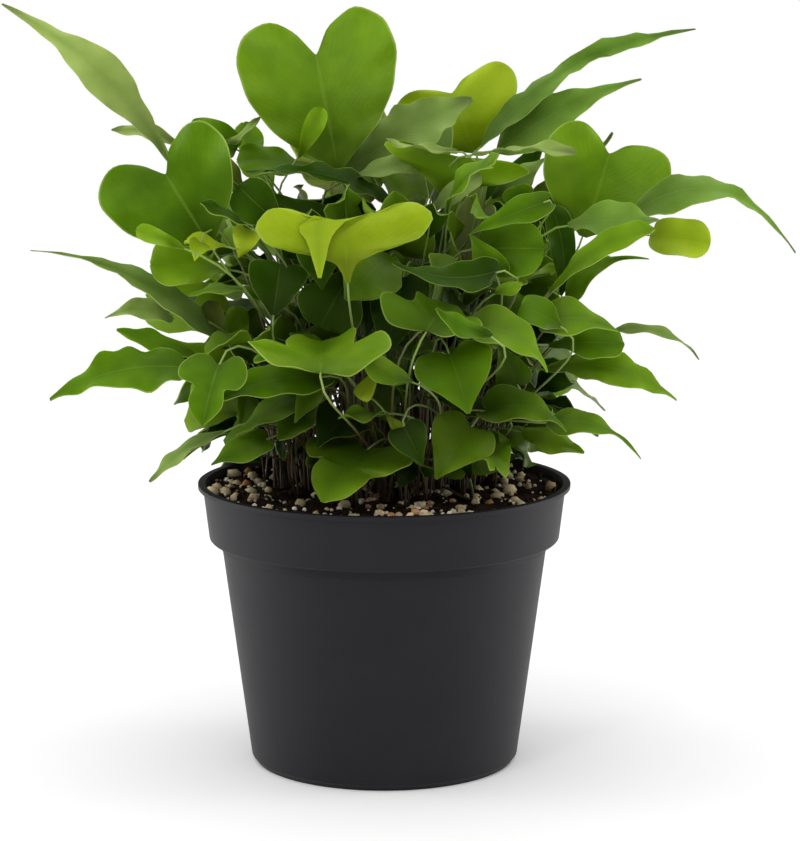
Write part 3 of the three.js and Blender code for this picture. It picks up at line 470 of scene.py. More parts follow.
def stipeMatch(row, foot, bow, points):
    controls = stipeControls(row, layMidrib(row, frameSteps), foot, bow)
    fine = bezier(controls, np.linspace(0, 1, 201))
    segments = math.ceil(np.linalg.norm(np.diff(fine, axis=0), axis=1).sum() / stipeStep)
    parts = np.arange(segments + 1) / segments
    radii = stipeBottomRadius + (stipeRadius - stipeBottomRadius) * parts
    gaps = np.linalg.norm(bezier(controls, parts)[:, None, :] - points[None, :, :], axis=2)
    return int((np.abs(gaps - radii[:, None]) < 0.05).sum())


def findFrond(row, foot, points):
    shares = [(shareFound(frameBlade(shifted(row, depth)), points), -i) for i, depth in enumerate(depthSteps)]
    share, order = max(shares)
    if share < 0.5:
        return None
    row = shifted(row, depthSteps[-order])
    bow = max(bowSteps, key=lambda bow: (stipeMatch(row, foot, bow, points), -abs(bow)))
    return shifted(row, row["nudge"]), foot, bow


def smoothOutline(row, t):
    rows = np.array(forms[row["form"]], float)
    length = np.linalg.norm(row["tip"] - row["base"])
    steps = np.linalg.norm(np.diff(rows[:, :2], axis=0) * [row["width"], length], axis=1)
    knots = np.concatenate([[0], np.cumsum(steps)]) / steps.sum()
    spans = np.diff(knots)[:, None]
    slopes = np.diff(rows, axis=0) / spans
    tangents = np.vstack([slopes[:1], (slopes[1:] * spans[:-1] + slopes[:-1] * spans[1:])
                          / (spans[1:] + spans[:-1]), slopes[-1:]])
    k = np.clip(np.searchsorted(knots, t, side="right") - 1, 0, len(spans) - 1)
    h = spans[k]
    s = ((t - knots[k]) / h[:, 0])[:, None]
    found = ((2 * s ** 3 - 3 * s ** 2 + 1) * rows[k] + (s ** 3 - 2 * s ** 2 + s) * h * tangents[k]
             + (3 * s ** 2 - 2 * s ** 3) * rows[k + 1] + (s ** 3 - s ** 2) * h * tangents[k + 1])
    return found[:, 0], found[:, 1], np.clip(found[:, 2], 0, 1)


# Finished meshes
stipe = {
    "radius": 0.46, "tipRadius": 0.36, "sides": 7, "rings": 18, "sunk": 4, "roughness": 0.42, "clouds": 6,
    "low": "#5a4028", "middle": "#7a683c", "high": "#84a044",
}
bladeLook = {
    # Rows and columns are those of a large blade and of a small one
    "rows": (34, 22), "columns": (14, 10), "thickness": 0.42, "crease": 0.03, "ruffle": 1.0,
    "ruffleLength": 13, "swell": 1.5, "scallops": {"willow": 0.07, "lance": 0.06}, "plainScallop": 0.008,
    "roughness": 0.36, "shine": 0.24, "shadeShine": 0.13, "sheen": "#dcecaa", "clouds": 11,
    "grain": 1.1, "veins": 0.015, "veinWaves": 150, "footShade": 0.55, "footEnd": 0.6,
    # Where each starts and ends, how strong it is at both, and its colour
    "painted": {
        # The pale margin is partly the blade's own paler edge and partly a painted highlight
        "midrib": (0.004, 0.02, 0.22, 0, "#86a03c"), "margin": (0.482, 0.497, 0, 0.6, "#9fb455"),
        "driedTip": (0.8, 1, 0, 0.55, "#4d5237"),
    },
}


def newMesh():
    bm = bmesh.new()
    bm.loops.layers.uv.new("frond")
    bm.verts.layers.float.new("shade")
    return bm


def facesOf(verts):
    return list({face for vert in verts for face in vert.link_faces})


# Gives a frond or grain its own shade from 0 to 1, its material and a smooth surface
def dress(bm, verts, shade, material):
    layer = bm.verts.layers.float["shade"]
    for vert in verts:
        vert[layer] = shade
    for face in facesOf(verts):
        face.material_index = material
        face.smooth = True


# A grid of the given size, laid by place(across from -1 to 1, along from 0 to 1, how many layers below)
def laidGrid(bm, columns, rows, place, material, shade, layers=1):
    made = bmesh.ops.create_grid(bm, x_segments=columns, y_segments=rows, size=1, calc_uvs=True)["verts"]
    if layers == 2:
        under = bmesh.ops.extrude_face_region(bm, geom=facesOf(made), use_keep_orig=True)["geom"]
        under = [item for item in under if isinstance(item, bmesh.types.BMVert)]
        bmesh.ops.translate(bm, verts=under, vec=(0, 0, -1))
        made += under
        bmesh.ops.recalc_face_normals(bm, faces=facesOf(made))
    flat = np.array([vert.co for vert in made])
    points = place(flat[:, 0], (flat[:, 1] + 1) / 2, -flat[:, 2])
    for vert, point in zip(made, points * mm):
        vert.co = point
    dress(bm, made, shade, material)
    return made


def drawTraits(draw):
    return {"shade": draw(), "ruffle": draw() * 6.3, "swell": draw() * 6.3}


def addBlade(bm, row, rib, traits, rows=None, columns=None):
    look = bladeLook
    small = row["width"] < smallBlade
    rows, columns = rows or look["rows"][small], columns or look["columns"][small]
    size = row["width"] * 0.5 + rib["length"]
    scallop = look["scallops"].get(row["form"], look["plainScallop"])

    def place(across, along, below):
        out, up, start = smoothOutline(row, along)
        side = np.where(across > 0, 2.1, 0.0)
        turns = along * size / look["ruffleLength"] * 2 * math.pi + traits["ruffle"] + side
        free = np.minimum(1, out * 5)
        lift = look["ruffle"] * np.sin(turns) * np.abs(across) ** 3 * free
        lift += look["swell"] * np.sin(along * 5 + side + traits["swell"]) * np.abs(across) ** 1.5 * free
        out = out * (1 + scallop * np.sin(turns * 1.3 + 1) * free)
        below = below * look["thickness"] - lift
        return bladePoints(row, rib, (out, up, start), across, below, look["crease"])

    laidGrid(bm, columns, rows, place, 1 + list(tones).index(row["tone"]), traits["shade"], layers=2)


# The stipe, and the midrib that carries it on under the blade
def addStipe(bm, row, rib, foot, bow, traits, sides=stipe["sides"], rings=stipe["rings"]):
    fine = bezier(stipeControls(row, rib, foot, bow), np.linspace(0, 1, 60))
    start = np.array([*foot[:2], soilLevel - stipe["sunk"]])
    under, _, up = midribFrame(row, rib, np.linspace(0.02, 0.6 if row["hook"] == 0 else 0.4, 12))
    under = under - up * (bladeLook["thickness"] + stipe["tipRadius"] * 0.3)
    line = np.vstack([start, fine, under])
    walked = np.concatenate([[0], np.cumsum(np.linalg.norm(np.diff(line, axis=0), axis=1))])
    bladeStart = walked[len(fine)] / walked[-1]
    parts = np.linspace(0, 1, rings + 1)
    centres = np.array([np.interp(parts * walked[-1], walked, line[:, k]) for k in range(3)]).T
    tangents = np.gradient(centres, axis=0)
    tangents /= np.linalg.norm(tangents, axis=1)[:, None]
    right = unit(np.cross(tangents[0], [0.3, 1, 0.1]))
    rights = []
    for tangent in tangents:
        right = unit(right - tangent * np.dot(right, tangent))
        rights.append(right)
    rights = np.array(rights)
    ups = np.cross(rights, tangents)
    taper = np.clip((parts - bladeStart) / (1 - bladeStart), 0, 1)
    radii = stipe["radius"] + (stipe["tipRadius"] - stipe["radius"]) * np.clip(parts / bladeStart, 0, 1)
    radii = radii * (1 - 0.85 * taper)

    def place(across, along, _):
        k = np.rint(along * rings).astype(int)
        turn = (across * math.pi)[:, None]
        return centres[k] + (rights[k] * np.cos(turn) + ups[k] * np.sin(turn)) * radii[k][:, None]

    verts = laidGrid(bm, sides, rings, place, 0, traits["shade"])
    bmesh.ops.remove_doubles(bm, verts=verts, dist=1e-6)
    faces = facesOf([vert for vert in verts if vert.is_valid])
    edges = [edge for edge in {edge for face in faces for edge in face.edges} if edge.is_boundary]
    faces += bmesh.ops.holes_fill(bm, edges=edges, sides=0)["faces"]
    bmesh.ops.recalc_face_normals(bm, faces=faces)


def addObject(name, data):
    made = bpy.data.objects.new(name, data)
    bpy.context.scene.collection.objects.link(made)
    return made


def addMesh(bm, name, materials=()):
    mesh = bpy.data.meshes.new(name)
    bm.to_mesh(mesh)
    bm.free()
    for material in materials:
        mesh.materials.append(material)
    return addObject(name, mesh)


def finishPiece(bm, name, materials, nodes, sharpAngle=45):
    piece = addMesh(bm, name, materials)
    piece.data.set_sharp_from_angle(angle=math.radians(sharpAngle))
    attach(piece, "root")
    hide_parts(*nodes)
    return piece


# Materials
shadedMiddle = {
    "centre": (0, 4, 128), "radii": (82, 92, 90), "from": (0.5, 1.1), "blade": 0.26, "stipe": 0.42,
}
# Two greens for each tone: in the shade of the blade's own folds, and where it lies open
# Dark, deep and bright are partly greens that differ from frond to frond and partly painted shade and light:
# fronds that lie in shade get the darker tones, fronds turned to the light the brighter ones. Grey is partly
# a waxy bloom and partly painted sheen.
tones = {
    "dark": ("#1a3401", "#385a04"), "deep": ("#2a4a00", "#618b0c"), "mid": ("#375c00", "#769e10"),
    "bright": ("#467200", "#86ac16"), "yellow": ("#749000", "#a8be20"), "pale": ("#6c8838", "#a3b860"),
    "grey": ("#527026", "#8aa450"), "olive": ("#566c1c", "#7c8a38"),
    "leaf": ("#436a16", "#7ba03a"), "lemon": ("#8caa08", "#bed434"),
}
driedTones = ("grey", "olive", "pale", "leaf")
shadedTones = ("dark", "deep")


def hexColour(text):
    parts = [int(text[i:i + 2], 16) / 255 for i in (1, 3, 5)]
    return (*[c / 12.92 if c <= 0.04045 else ((c + 0.055) / 1.055) ** 2.4 for c in parts], 1)


# Links a node's inputs, or gives them constant values
def feed(node, inputs):
    for key, value in inputs.items():
        if isinstance(value, bpy.types.NodeSocket):
            node.id_data.links.new(value, node.inputs[key])
        else:
            node.inputs[key].default_value = value


# Adds a node and hands back one of its outputs
def addNode(tree, kind, inputs=None, output=0, **settings):
    node = tree.nodes.new("ShaderNode" + kind)
    for name, value in settings.items():
        setattr(node, name, value)
    feed(node, inputs or {})
    return node.outputs[output]


def newMaterial(name):
    material = bpy.data.materials.new(name)
    material.use_nodes = True
    return material, material.node_tree, material.node_tree.nodes["Principled BSDF"]


def scaleOf(millimetres):
    return 1000 / millimetres


# Lets a colour sink into a deep shade in the dense middle of the clump
def clumpShaded(tree, colour, place, least):
    centre = [value * mm for value in shadedMiddle["centre"]]
    stretch = [1 / (value * mm) for value in shadedMiddle["radii"]]
    inner, outer = shadedMiddle["from"]
    moved = addNode(tree, "VectorMath", {0: place, 1: centre}, operation="SUBTRACT")
    scaled = addNode(tree, "VectorMath", {0: moved, 1: stretch}, operation="MULTIPLY")
    reach = addNode(tree, "VectorMath", {0: scaled}, "Value", operation="LENGTH")
    light = addNode(tree, "MapRange", {0: reach, 1: inner, 2: outer, 3: least, 4: 1},
                    interpolation_type="SMOOTHSTEP")
    return addNode(tree, "Mix", {0: 1, 6: colour, 7: light}, 2, data_type="RGBA", blend_type="MULTIPLY")


# A living fern blade: waxy skin over soft green tissue, darker at its foot and along its midrib fold with
# painted shade, with a thin pale margin that is partly painted highlight
def fernBlade(tone):
    look = bladeLook
    material, tree, skin = newMaterial("fernBlade" + tone.capitalize())
    dark, pale = (hexColour(text) for text in tones[tone])
    place = addNode(tree, "TexCoord", output="Object")
    shade = addNode(tree, "Attribute", output="Fac", attribute_name="shade")
    across = addNode(tree, "SeparateXYZ", {0: addNode(tree, "UVMap", uv_map="frond")}, "X")
    along = across.node.outputs["Y"]
    fromMid = addNode(tree, "Math", {0: across, 1: 0.5}, operation="SUBTRACT")
    fromMid = addNode(tree, "Math", {0: fromMid}, operation="ABSOLUTE")
    clouds = {"Vector": place, "Scale": scaleOf(look["clouds"]), "Detail": 2}
    clouds = addNode(tree, "TexNoise", clouds, "Fac")
    # Painted shade and light: darker along the midrib fold and paler towards the open edges, mottled by the
    # clouds and tinted a little differently for each frond
    light = -0.25
    for value, weight in ((clouds, 0.9), (fromMid, 0.7), (shade, 0.45)):
        light = addNode(tree, "Math", {0: value, 1: weight, 2: light}, operation="MULTIPLY_ADD")
    light.node.use_clamp = True
    green = addNode(tree, "Mix", {0: light, 6: dark, 7: pale}, 2, data_type="RGBA")
    # Painted shade: each blade darkens towards its foot
    atFoot = addNode(tree, "MapRange", {0: along, 1: 0, 2: look["footEnd"], 3: look["footShade"], 4: 1},
                     interpolation_type="SMOOTHSTEP")
    # Fine veins run out from the midrib, too faint to do more than break up the colour and the gloss
    veins = addNode(tree, "Math", {0: fromMid, 1: -0.55, 2: along}, operation="MULTIPLY_ADD")
    veins = addNode(tree, "Math", {0: veins, 1: look["veinWaves"]}, operation="MULTIPLY")
    veins = addNode(tree, "Math", {0: veins}, operation="SINE")
    veined = addNode(tree, "Math", {0: veins, 1: look["veins"], 2: 1}, operation="MULTIPLY_ADD")
    for light in (atFoot, veined):
        green = addNode(tree, "Mix", {0: 1, 6: green, 7: light}, 2, data_type="RGBA", blend_type="MULTIPLY")
    # Paints the midrib, the pale margin (partly a painted highlight) and, on the paler tones, the dried tip
    for name, (start, end, atStart, atEnd, colour) in look["painted"].items():
        if name != "driedTip" or tone in driedTones:
            at = along if name == "driedTip" else fromMid
            strength = addNode(tree, "MapRange", {0: at, 1: start, 2: end, 3: atStart, 4: atEnd},
                               interpolation_type="SMOOTHSTEP")
            green = addNode(tree, "Mix", {0: strength, 6: green, 7: hexColour(colour)}, 2, data_type="RGBA")
    gloss = addNode(tree, "MapRange", {0: clouds, 3: look["roughness"] - 0.06, 4: look["roughness"] + 0.1})
    grain = addNode(tree, "TexNoise", {"Vector": place, "Scale": scaleOf(look["grain"]), "Detail": 2}, "Fac")
    relief = addNode(tree, "Math", {0: veins, 1: 0.12, 2: grain}, operation="MULTIPLY_ADD")
    feed(skin, {
        "Base Color": clumpShaded(tree, green, place, shadedMiddle["blade"]), "Roughness": gloss,
        "Normal": addNode(tree, "Bump", {"Strength": 0.25, "Distance": 0.3 * mm, "Height": relief}),
        "Specular IOR Level": look["shadeShine" if tone in shadedTones else "shine"],
        "Specular Tint": hexColour(look["sheen"]), "Subsurface Weight": 0.1,
        "Subsurface Radius": (0.5, 1, 0.15), "Subsurface Scale": 1.2 * mm,
    })
    return material


# A wiry fern stipe: dark and woody by the soil, green and smooth under the blade
def fernStipe():
    material, tree, skin = newMaterial("fernStipe")
    place = addNode(tree, "TexCoord", output="Object")
    shade = addNode(tree, "Attribute", output="Fac", attribute_name="shade")
    clouds = {"Vector": place, "Scale": scaleOf(stipe["clouds"]), "Detail": 3}
    clouds = addNode(tree, "TexNoise", clouds, "Fac")
    level = addNode(tree, "SeparateXYZ", {0: addNode(tree, "UVMap", uv_map="frond")}, "Y")
    for value, weight in ((clouds, 0.25), (shade, 0.3)):
        level = addNode(tree, "Math", {0: value, 1: weight, 2: level}, operation="MULTIPLY_ADD")
    ramp = addNode(tree, "ValToRGB", {0: level})
    stops = ramp.node.color_ramp.elements
    stops[0].position, stops[0].color = 0.35, hexColour(stipe["low"])
    stops[1].position, stops[1].color = 1, hexColour(stipe["high"])
    stops.new(0.65).color = hexColour(stipe["middle"])
    colour = clumpShaded(tree, ramp, place, shadedMiddle["stipe"])
    feed(skin, {"Base Color": colour, "Roughness": stipe["roughness"]})
    return material


# Injection-moulded polypropylene: black with a soft sheen, a little paler where it is scuffed
def mouldedPlastic():
    material, tree, skin = newMaterial("mouldedPolypropylene")
    place = addNode(tree, "TexCoord", output="Object")
    scuffs = {"Vector": place, "Scale": scaleOf(pot["scuffs"]), "Detail": 6, "Roughness": 0.65}
    scuffs = addNode(tree, "TexNoise", scuffs, "Fac")
    worn = addNode(tree, "MapRange", {0: scuffs, 1: 0.4, 2: 0.75})
    both = {0: worn, 6: hexColour(pot["colour"]), 7: hexColour(pot["paleColour"])}
    gloss = {0: scuffs, 3: pot["roughness"] - 0.05, 4: pot["roughness"] + 0.09}
    grain = addNode(tree, "TexNoise", {"Vector": place, "Scale": scaleOf(pot["grain"]), "Detail": 2}, "Fac")
    feed(skin, {
        "Base Color": addNode(tree, "Mix", both, 2, data_type="RGBA"), "Specular IOR Level": pot["shine"],
        "Normal": addNode(tree, "Bump", {"Strength": 0.2, "Distance": 0.2 * mm, "Height": grain}),
        "Roughness": addNode(tree, "MapRange", gloss),
    })
    return material


# Loose peat, fired clay or perlite: matt, with a tint that changes from grain to grain
def looseGrain(name, low, high, cloudSize, roughness, shine):
    material, tree, skin = newMaterial(name)
    place = addNode(tree, "TexCoord", output="Object")
    shade = addNode(tree, "Attribute", output="Fac", attribute_name="shade")
    clouds = addNode(tree, "TexNoise", {"Vector": place, "Scale": scaleOf(cloudSize), "Detail": 4}, "Fac")
    mixed = -0.1
    for value in (clouds, shade):
        mixed = addNode(tree, "Math", {0: value, 1: 0.6, 2: mixed}, operation="MULTIPLY_ADD")
    mixed.node.use_clamp = True
    both = {0: mixed, 6: hexColour(low), 7: hexColour(high)}
    feed(skin, {
        "Base Color": addNode(tree, "Mix", both, 2, data_type="RGBA"), "Roughness": roughness,
        "Normal": addNode(tree, "Bump", {"Strength": 0.6, "Distance": 0.4 * mm, "Height": clouds}),
        "Specular IOR Level": shine,
    })
    return material


# Pot and potting mix
pot = {
    "height": 98, "rimRadius": 64.5, "rimThickness": 1.5, "collarHeight": 19.5,
    "collarRadius": 62.8, "collarBottomRadius": 60.7, "bodyRadius": 56.6, "baseRadius": 46.4,
    "wall": 1.2, "baseThickness": 1.6, "steps": 128, "edgeRound": 0.45,
    "drainHole": {"count": 6, "radius": 2.3, "circle": 31}, "scuffs": 24, "grain": 0.8,
    "colour": "#131116", "paleColour": "#19171c", "roughness": 0.5, "shine": 0.24,
}
collarLow = pot["height"] - pot["collarHeight"]
mix = {
    "level": 95.4, "gap": 0.3, "relief": 3.4, "lumpSize": 5, "steps": 120, "rings": 44,
    # Darkest and palest colour, size of the clouds in it, roughness and shine
    "grains": {
        "darkPeat": ("#0b0704", "#38271a", 2.5, 0.9, 0.1),
        "firedClay": ("#7c6440", "#f2dfb6", 1.6, 0.7, 0.4),
        "firedClayWarm": ("#704626", "#d89a66", 1.6, 0.7, 0.4),
        "expandedPerlite": ("#b9b3a4", "#f0ece2", 0.8, 0.8, 0.4),
    },
    # How many lie loose on it, their smallest and largest radius, how flat and how high they lie
    "strewn": [
        ("firedClay", 240, (0.8, 3.0), 0.55, 0.25), ("firedClayWarm", 48, (0.8, 3.0), 0.55, 0.25),
        ("expandedPerlite", 260, (0.4, 1.2), 0.7, 0.4), ("darkPeat", 720, (0.5, 1.5), 0.3, 0.5),
    ],
    "strewnReach": 60.5, "roughened": 0.24,
}


def wallRadius(z):
    if z < collarLow:
        return pot["baseRadius"] + (pot["bodyRadius"] - pot["baseRadius"]) * z / collarLow - pot["wall"]
    rise = (z - collarLow - 1) / (pot["collarHeight"] - 1)
    return pot["collarBottomRadius"] + (pot["collarRadius"] - pot["collarBottomRadius"]) * rise - pot["wall"]


def spunMesh(profile, steps, shade):
    bm = newMesh()
    verts = [bm.verts.new((r * mm, 0, z * mm)) for r, z in profile]
    edges = [bm.edges.new(pair) for pair in zip(verts, verts[1:])]
    bmesh.ops.spin(bm, geom=verts + edges, cent=(0, 0, 0), axis=(0, 0, 1), angle=2 * math.pi, steps=steps,
                   use_merge=True)
    bmesh.ops.remove_doubles(bm, verts=bm.verts, dist=1e-6)
    bmesh.ops.recalc_face_normals(bm, faces=bm.faces)
    dress(bm, bm.verts, shade, 0)
    return bm


def makePot():
    top, floor, base, body = pot["height"], pot["baseThickness"], pot["baseRadius"], pot["bodyRadius"]
    low, under, collarBottom = collarLow, top - pot["rimThickness"], pot["collarBottomRadius"]
    profile = [
        (0, 0), (base - 3.4, 0), (base - 3.2, 0.5), (base - 2, 0.5), (base - 1.4, 0), (base - 0.4, 1.6),
        (base + 0.15, 2.1), (body - 0.35, low - 3.4), (body + 0.15, low - 3.1), (body + 0.2, low),
        (collarBottom - 0.5, low), (collarBottom, low + 0.6), (pot["collarRadius"], under),
        (pot["rimRadius"], under), (pot["rimRadius"], top), (wallRadius(top) + 0.4, top),
        (wallRadius(top - 1), top - 1), (wallRadius(low + 1), low + 1), (wallRadius(low - 0.01), low - 1.5),
        (wallRadius(floor), floor), (0, floor),
    ]
    bm = spunMesh(profile, pot["steps"], 0)
    piece = finishPiece(bm, "potShell", [mouldedPlastic()], ["pot"], 60)
    drill = bmesh.new()
    hole = pot["drainHole"]
    for i in range(hole["count"]):
        at = Matrix.Translation(levelAt(i * 2 * math.pi / hole["count"]) * hole["circle"] * mm)
        bmesh.ops.create_cone(drill, cap_ends=True, segments=24, radius1=hole["radius"] * mm,
                              radius2=hole["radius"] * mm, depth=12 * mm, matrix=at)
    bits = addMesh(drill, "drillBits")
    cut = piece.modifiers.new("drainHoles", "BOOLEAN")
    cut.operation, cut.solver, cut.object = "DIFFERENCE", "EXACT", bits
    rounded = piece.modifiers.new("roundedEdges", "BEVEL")
    rounded.affect, rounded.width, rounded.segments = "EDGES", pot["edgeRound"] * mm, 3
    rounded.profile, rounded.material, rounded.limit_method = 0.5, -1, "ANGLE"
    rounded.angle_limit, rounded.harden_normals = math.radians(28), True
    bpy.context.view_layer.objects.active = piece
    for name in ("drainHoles", "roundedEdges"):
        with bpy.context.temp_override(object=piece, active_object=piece):
            bpy.ops.object.modifier_apply(modifier=name)
    bpy.data.objects.remove(bits)
    return piece


def surfaceHeight(x, y):
    broad = noise.noise(Vector((x / 13, y / 13, 4.2)))
    lumps = noise.noise(Vector((x / mix["lumpSize"], y / mix["lumpSize"], 9.1)))
    edge = min(1, max(0, (61 - math.hypot(x, y)) / 6))
    return mix["level"] + (broad * 0.5 + lumps * 0.7) * mix["relief"] * edge


# One loose grain: a squashed and roughened ball on the surface of the mix
def strewGrain(bm, draw, sizes, material, flatness, sink):
    out, turn = mix["strewnReach"] * math.sqrt(draw()), draw() * 2 * math.pi
    x, y = out * math.cos(turn), out * math.sin(turn)
    size = sizes[0] + (sizes[1] - sizes[0]) * draw() ** 1.6
    spin = Matrix.Rotation(draw() * 6.3, 4, "Z") @ Matrix.Rotation(draw() * 2.4, 4, "X")
    squash = Matrix.Diagonal((1, 0.65 + 0.35 * draw(), flatness + 0.3 * draw(), 1))
    place = Matrix.Translation((x * mm, y * mm, (surfaceHeight(x, y) + size * sink) * mm))
    made = bmesh.ops.create_icosphere(bm, subdivisions=1, radius=size * mm, matrix=place @ spin @ squash)
    for vert in made["verts"]:
        jolt = noise.noise(vert.co * 900) * mix["roughened"]
        vert.co += (vert.co - place.translation) * jolt
    dress(bm, made["verts"], draw(), material)


def makeMix():
    gap, floor, low = mix["gap"], pot["baseThickness"], collarLow
    outer = wallRadius(mix["level"]) - gap
    profile = [(0, floor + gap), (wallRadius(floor) - gap, floor + gap), (wallRadius(low - 3) - gap, low - 3),
               (wallRadius(low - 3) - gap, low + 2), (wallRadius(low + 2) - gap, low + 2.6)]
    profile += [(outer * (1 - i / mix["rings"]), mix["level"]) for i in range(mix["rings"] + 1)]
    bm = spunMesh(profile, mix["steps"], 0.3)
    for vert in bm.verts:
        x, y, z = (c / mm for c in vert.co)
        if z > mix["level"] - 0.5:
            vert.co.z = surfaceHeight(x, y) * mm
    draw = makeDraw(seed + 5)
    names = list(mix["grains"])
    for name, count, sizes, flatness, sink in mix["strewn"]:
        for _ in range(count):
            strewGrain(bm, draw, sizes, names.index(name), flatness, sink)
    materials = [looseGrain(name, *look) for name, look in mix["grains"].items()]
    return finishPiece(bm, "pottingMix", materials, ["potting_mix"], 75)


# Search trees, to test what cuts what: of the blades or the stipes of a tuft, or of a whole piece
def treeOf(bm, blades):
    bm.verts.index_update()
    faces = [face for face in bm.faces if (face.material_index > 0) == blades]
    corners = [[vert.index for vert in face.verts] for face in faces]
    return BVHTree.FromPolygons([vert.co for vert in bm.verts], corners)


def treeOfPiece(piece):
    places = [vert.co for vert in piece.data.vertices]
    return BVHTree.FromPolygons(places, [face.vertices[:] for face in piece.data.polygons])


def makeFronds(solids):
    tufts = [(name, [placeBlade(row) for row in rows]) for name, rows in frontTufts.items()]
    tufts.sort(key=lambda tuft: -max(row["width"] for row in tuft[1]))
    tufts += hiddenTufts()
    roots = rootPlaces(tufts)
    materials = [fernStipe()] + [fernBlade(tone) for tone in tones]
    draw = makeDraw(seed + 9)
    found = 0
    meshes = []
    for (name, rows), root in zip(tufts, roots):
        points = np.array([vert.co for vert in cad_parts["fronds_" + name].data.vertices]) / mm
        firstTurn = math.atan2(rows[0]["base"][1] - root[1], rows[0]["base"][0] - root[0])
        apart = stipeSpacing if len(rows) > 1 else 0
        bm = newMesh()
        for k, row in enumerate(rows):
            frond = findFrond(row, root + levelAt(firstTurn + k * 2 * math.pi / len(rows)) * apart, points)
            if frond:
                row, foot, bow = frond
                rib = layMidrib(row, midribSteps)
                traits = drawTraits(draw)
                addStipe(bm, row, rib, foot, bow, traits)
                addBlade(bm, row, rib, traits)
                found += 1
            else:
                print("no room in the frame for a frond of", name)
        meshes.append(bm)
    print("fronds made:", found)
    print("fronds of the understorey:", addUnderstorey(roots, meshes, solids))
    for (name, _), bm in zip(tufts, meshes):
        finishPiece(bm, "foliage_" + name, materials, ["fronds_" + name])


# Small shaded fronds fill the clump behind and under the ones above, wherever one stands clear of the rest
zoneKeys = ("count", "tries", "arc", "out", "height", "width", "length", "tilt")
understorey = {name: dict(zip(zoneKeys, values)) for name, values in {
    "backdrop": (110, 1700, (22, 158), (26, 56), (106, 168), (15, 28), (18, 34), (0, 35)),
    "filling": (190, 2400, (0, 360), (4, 56), (118, 192), (10, 24), (14, 29), (15, 60)),
    "undergrowth": (130, 2200, (0, 360), (2, 48), (108, 178), (7, 13), (10, 18), (0, 60)),
}.items()}
understoreyForms = ["spade", "broad", "willow", "spoon", "ivy"]
understoreyTones = ["mid", "dark", "mid", "dark", "bright"]
understoreySpacing = 2.6
understoreyStipe = {"sides": 5, "rings": 12}
understoreyBlade = {"rows": 12, "columns": 6}
trialBlade = {"rows": 10, "columns": 4}


def drawUnderstorey(draw, zone):
    def between(pair):
        return pair[0] + (pair[1] - pair[0]) * draw()

    def oneOf(names):
        return names[int(draw() * len(names))]

    azimuth, tilt = math.radians(between(zone["arc"])), math.radians(between(zone["tilt"]))
    outward = levelAt(azimuth)
    out = zone["out"][0] + (zone["out"][1] - zone["out"][0]) * math.sqrt(draw())
    start = outward * out * [1, 0.85, 1] + [0, clumpCentre[1] * 0.5, between(zone["height"])]
    way = outward * 0.5 + squareTo(outward) * (draw() - 0.5) * 1.6 + np.array([0, 0, draw() * 1.1 - 0.45])
    row = blade(oneOf(understoreyForms), start, None, between(zone["width"]), tilted(outward, tilt),
                oneOf(understoreyTones), bend=15 + 45 * draw(), wave=0.8 * draw(), fold=0.1 + 0.2 * draw())
    return {**row, "tip": start + unit(way) * between(zone["length"])}


def addUnderstorey(roots, meshes, solids):
    draw = makeDraw(seed + 13)
    kept = [treeOfPiece(piece) for piece in solids]
    blades = [treeOf(bm, True) for bm in meshes]
    stipes = [treeOf(bm, False) for bm in meshes]
    added = dict.fromkeys(understorey, 0)
    for name in [name for name, zone in understorey.items() for _ in range(zone["tries"])]:
        if added[name] == understorey[name]["count"]:
            continue
        row = drawUnderstorey(draw, understorey[name])
        nearest = min(range(len(roots)), key=lambda i: np.linalg.norm(roots[i][:2] - row["base"][:2] * 0.6))
        foot = roots[nearest] + levelAt(draw() * 2 * math.pi) * understoreySpacing
        rib = layMidrib(row, midribSteps)
        traits = drawTraits(draw)
        trial = newMesh()
        addBlade(trial, row, rib, traits, **trialBlade)
        bladeTree = treeOf(trial, True)
        if not any(bladeTree.overlap(tree) for tree in kept + blades + stipes):
            addStipe(trial, row, rib, foot, 0, traits, **understoreyStipe)
            stipeTree = treeOf(trial, False)
            if not any(stipeTree.overlap(tree) for tree in blades):
                addStipe(meshes[nearest], row, rib, foot, 0, traits, **understoreyStipe)
                addBlade(meshes[nearest], row, rib, traits, **understoreyBlade)
                blades.append(bladeTree)
                stipes.append(stipeTree)
                added[name] += 1
        trial.free()
    return added


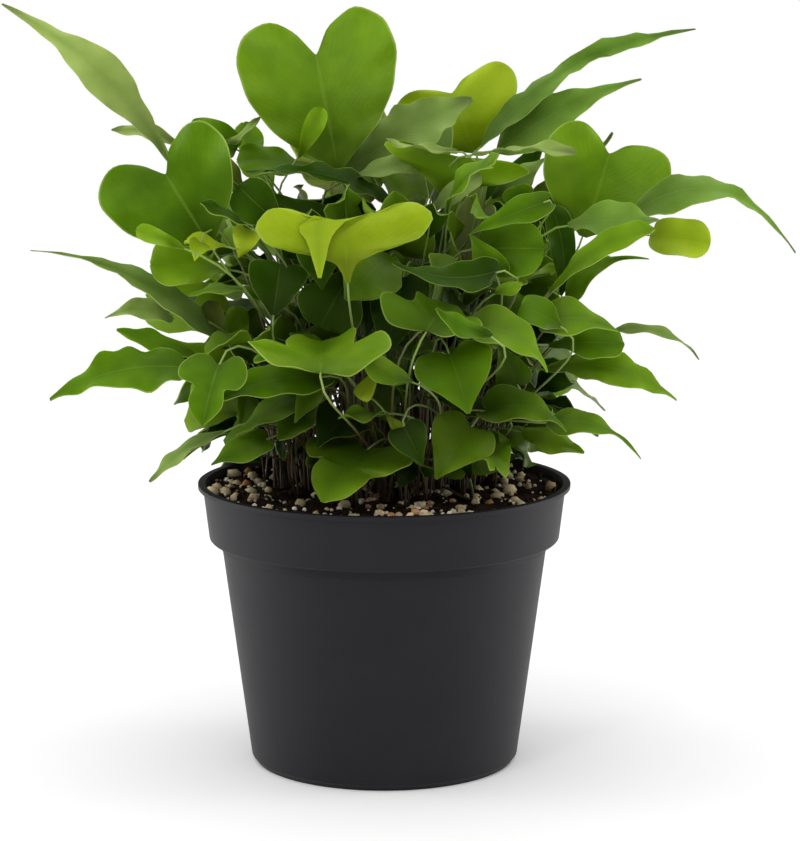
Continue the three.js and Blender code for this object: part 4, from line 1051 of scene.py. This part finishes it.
# Studio: an even soft light from above the camera, and a paler edge on either side of the pot
studio = {
    "paper": "#efefef", "fill": 0.3, "glow": 0.065, "floorSize": 20, "aim": (0, 0, 0.14),
    "lamps": {
        "overheadSky": {"at": (-0.06, -0.12, 1.3), "soft": 110, "power": 2.6},
        "keyLamp": {"at": (-0.45, -0.8, 0.7), "size": 0.14, "power": 1.0},
        "softboxLeft": {"at": (-0.9, 0.1, 0.22), "size": 0.4, "power": 2.8},
        "softboxRight": {"at": (0.9, 0.1, 0.22), "size": 0.4, "power": 2.8},
    },
}
white = (1, 1, 1, 1)


# The floor is matt white paper; a faint glow keeps the shadow on it soft and pale
def makeStudio():
    paper, _, skin = newMaterial("whitePaper")
    feed(skin, {"Base Color": hexColour(studio["paper"]), "Roughness": 0.8, "Emission Color": white,
                "Emission Strength": studio["glow"]})
    floor = bmesh.new()
    bmesh.ops.create_grid(floor, x_segments=1, y_segments=1, size=studio["floorSize"])
    ground = addMesh(floor, "studioFloor", [paper])
    bpy.context.scene.view_settings.view_transform = "Standard"
    world = bpy.data.worlds.new("softWhite")
    bpy.context.scene.world = world
    world.use_nodes = True
    feed(world.node_tree.nodes["Background"], {"Color": white, "Strength": studio["fill"]})
    for name, lamp in studio["lamps"].items():
        light = bpy.data.lights.new(name, "SUN" if "soft" in lamp else "AREA")
        light.energy = lamp["power"]
        if "soft" in lamp:
            light.angle = math.radians(lamp["soft"])
        else:
            light.size = lamp["size"]
        body = addObject(name, light)
        body.location = lamp["at"]
        body.rotation_euler = (Vector(studio["aim"]) - Vector(lamp["at"])).to_track_quat("-Z", "Y").to_euler()


# The camera stands where the photograph was taken from
def makeCamera():
    view = {"at": (0, -1.040, 0.294), "down": 9.54, "right": 0.3, "lens": 130.6, "sensor": 36}
    camera = bpy.data.cameras.new("photoCamera")
    camera.lens, camera.sensor_width = view["lens"], view["sensor"]
    body = addObject("photoCamera", camera)
    body.location = view["at"]
    body.rotation_euler = (math.radians(90 - view["down"]), 0, -math.radians(view["right"]))
    bpy.context.scene.camera = body


pieces = [makePot()]
print("pot made")
pieces.append(makeMix())
print("potting mix made")
makeFronds(pieces)
makeStudio()
makeCamera()
print("studio and camera set")
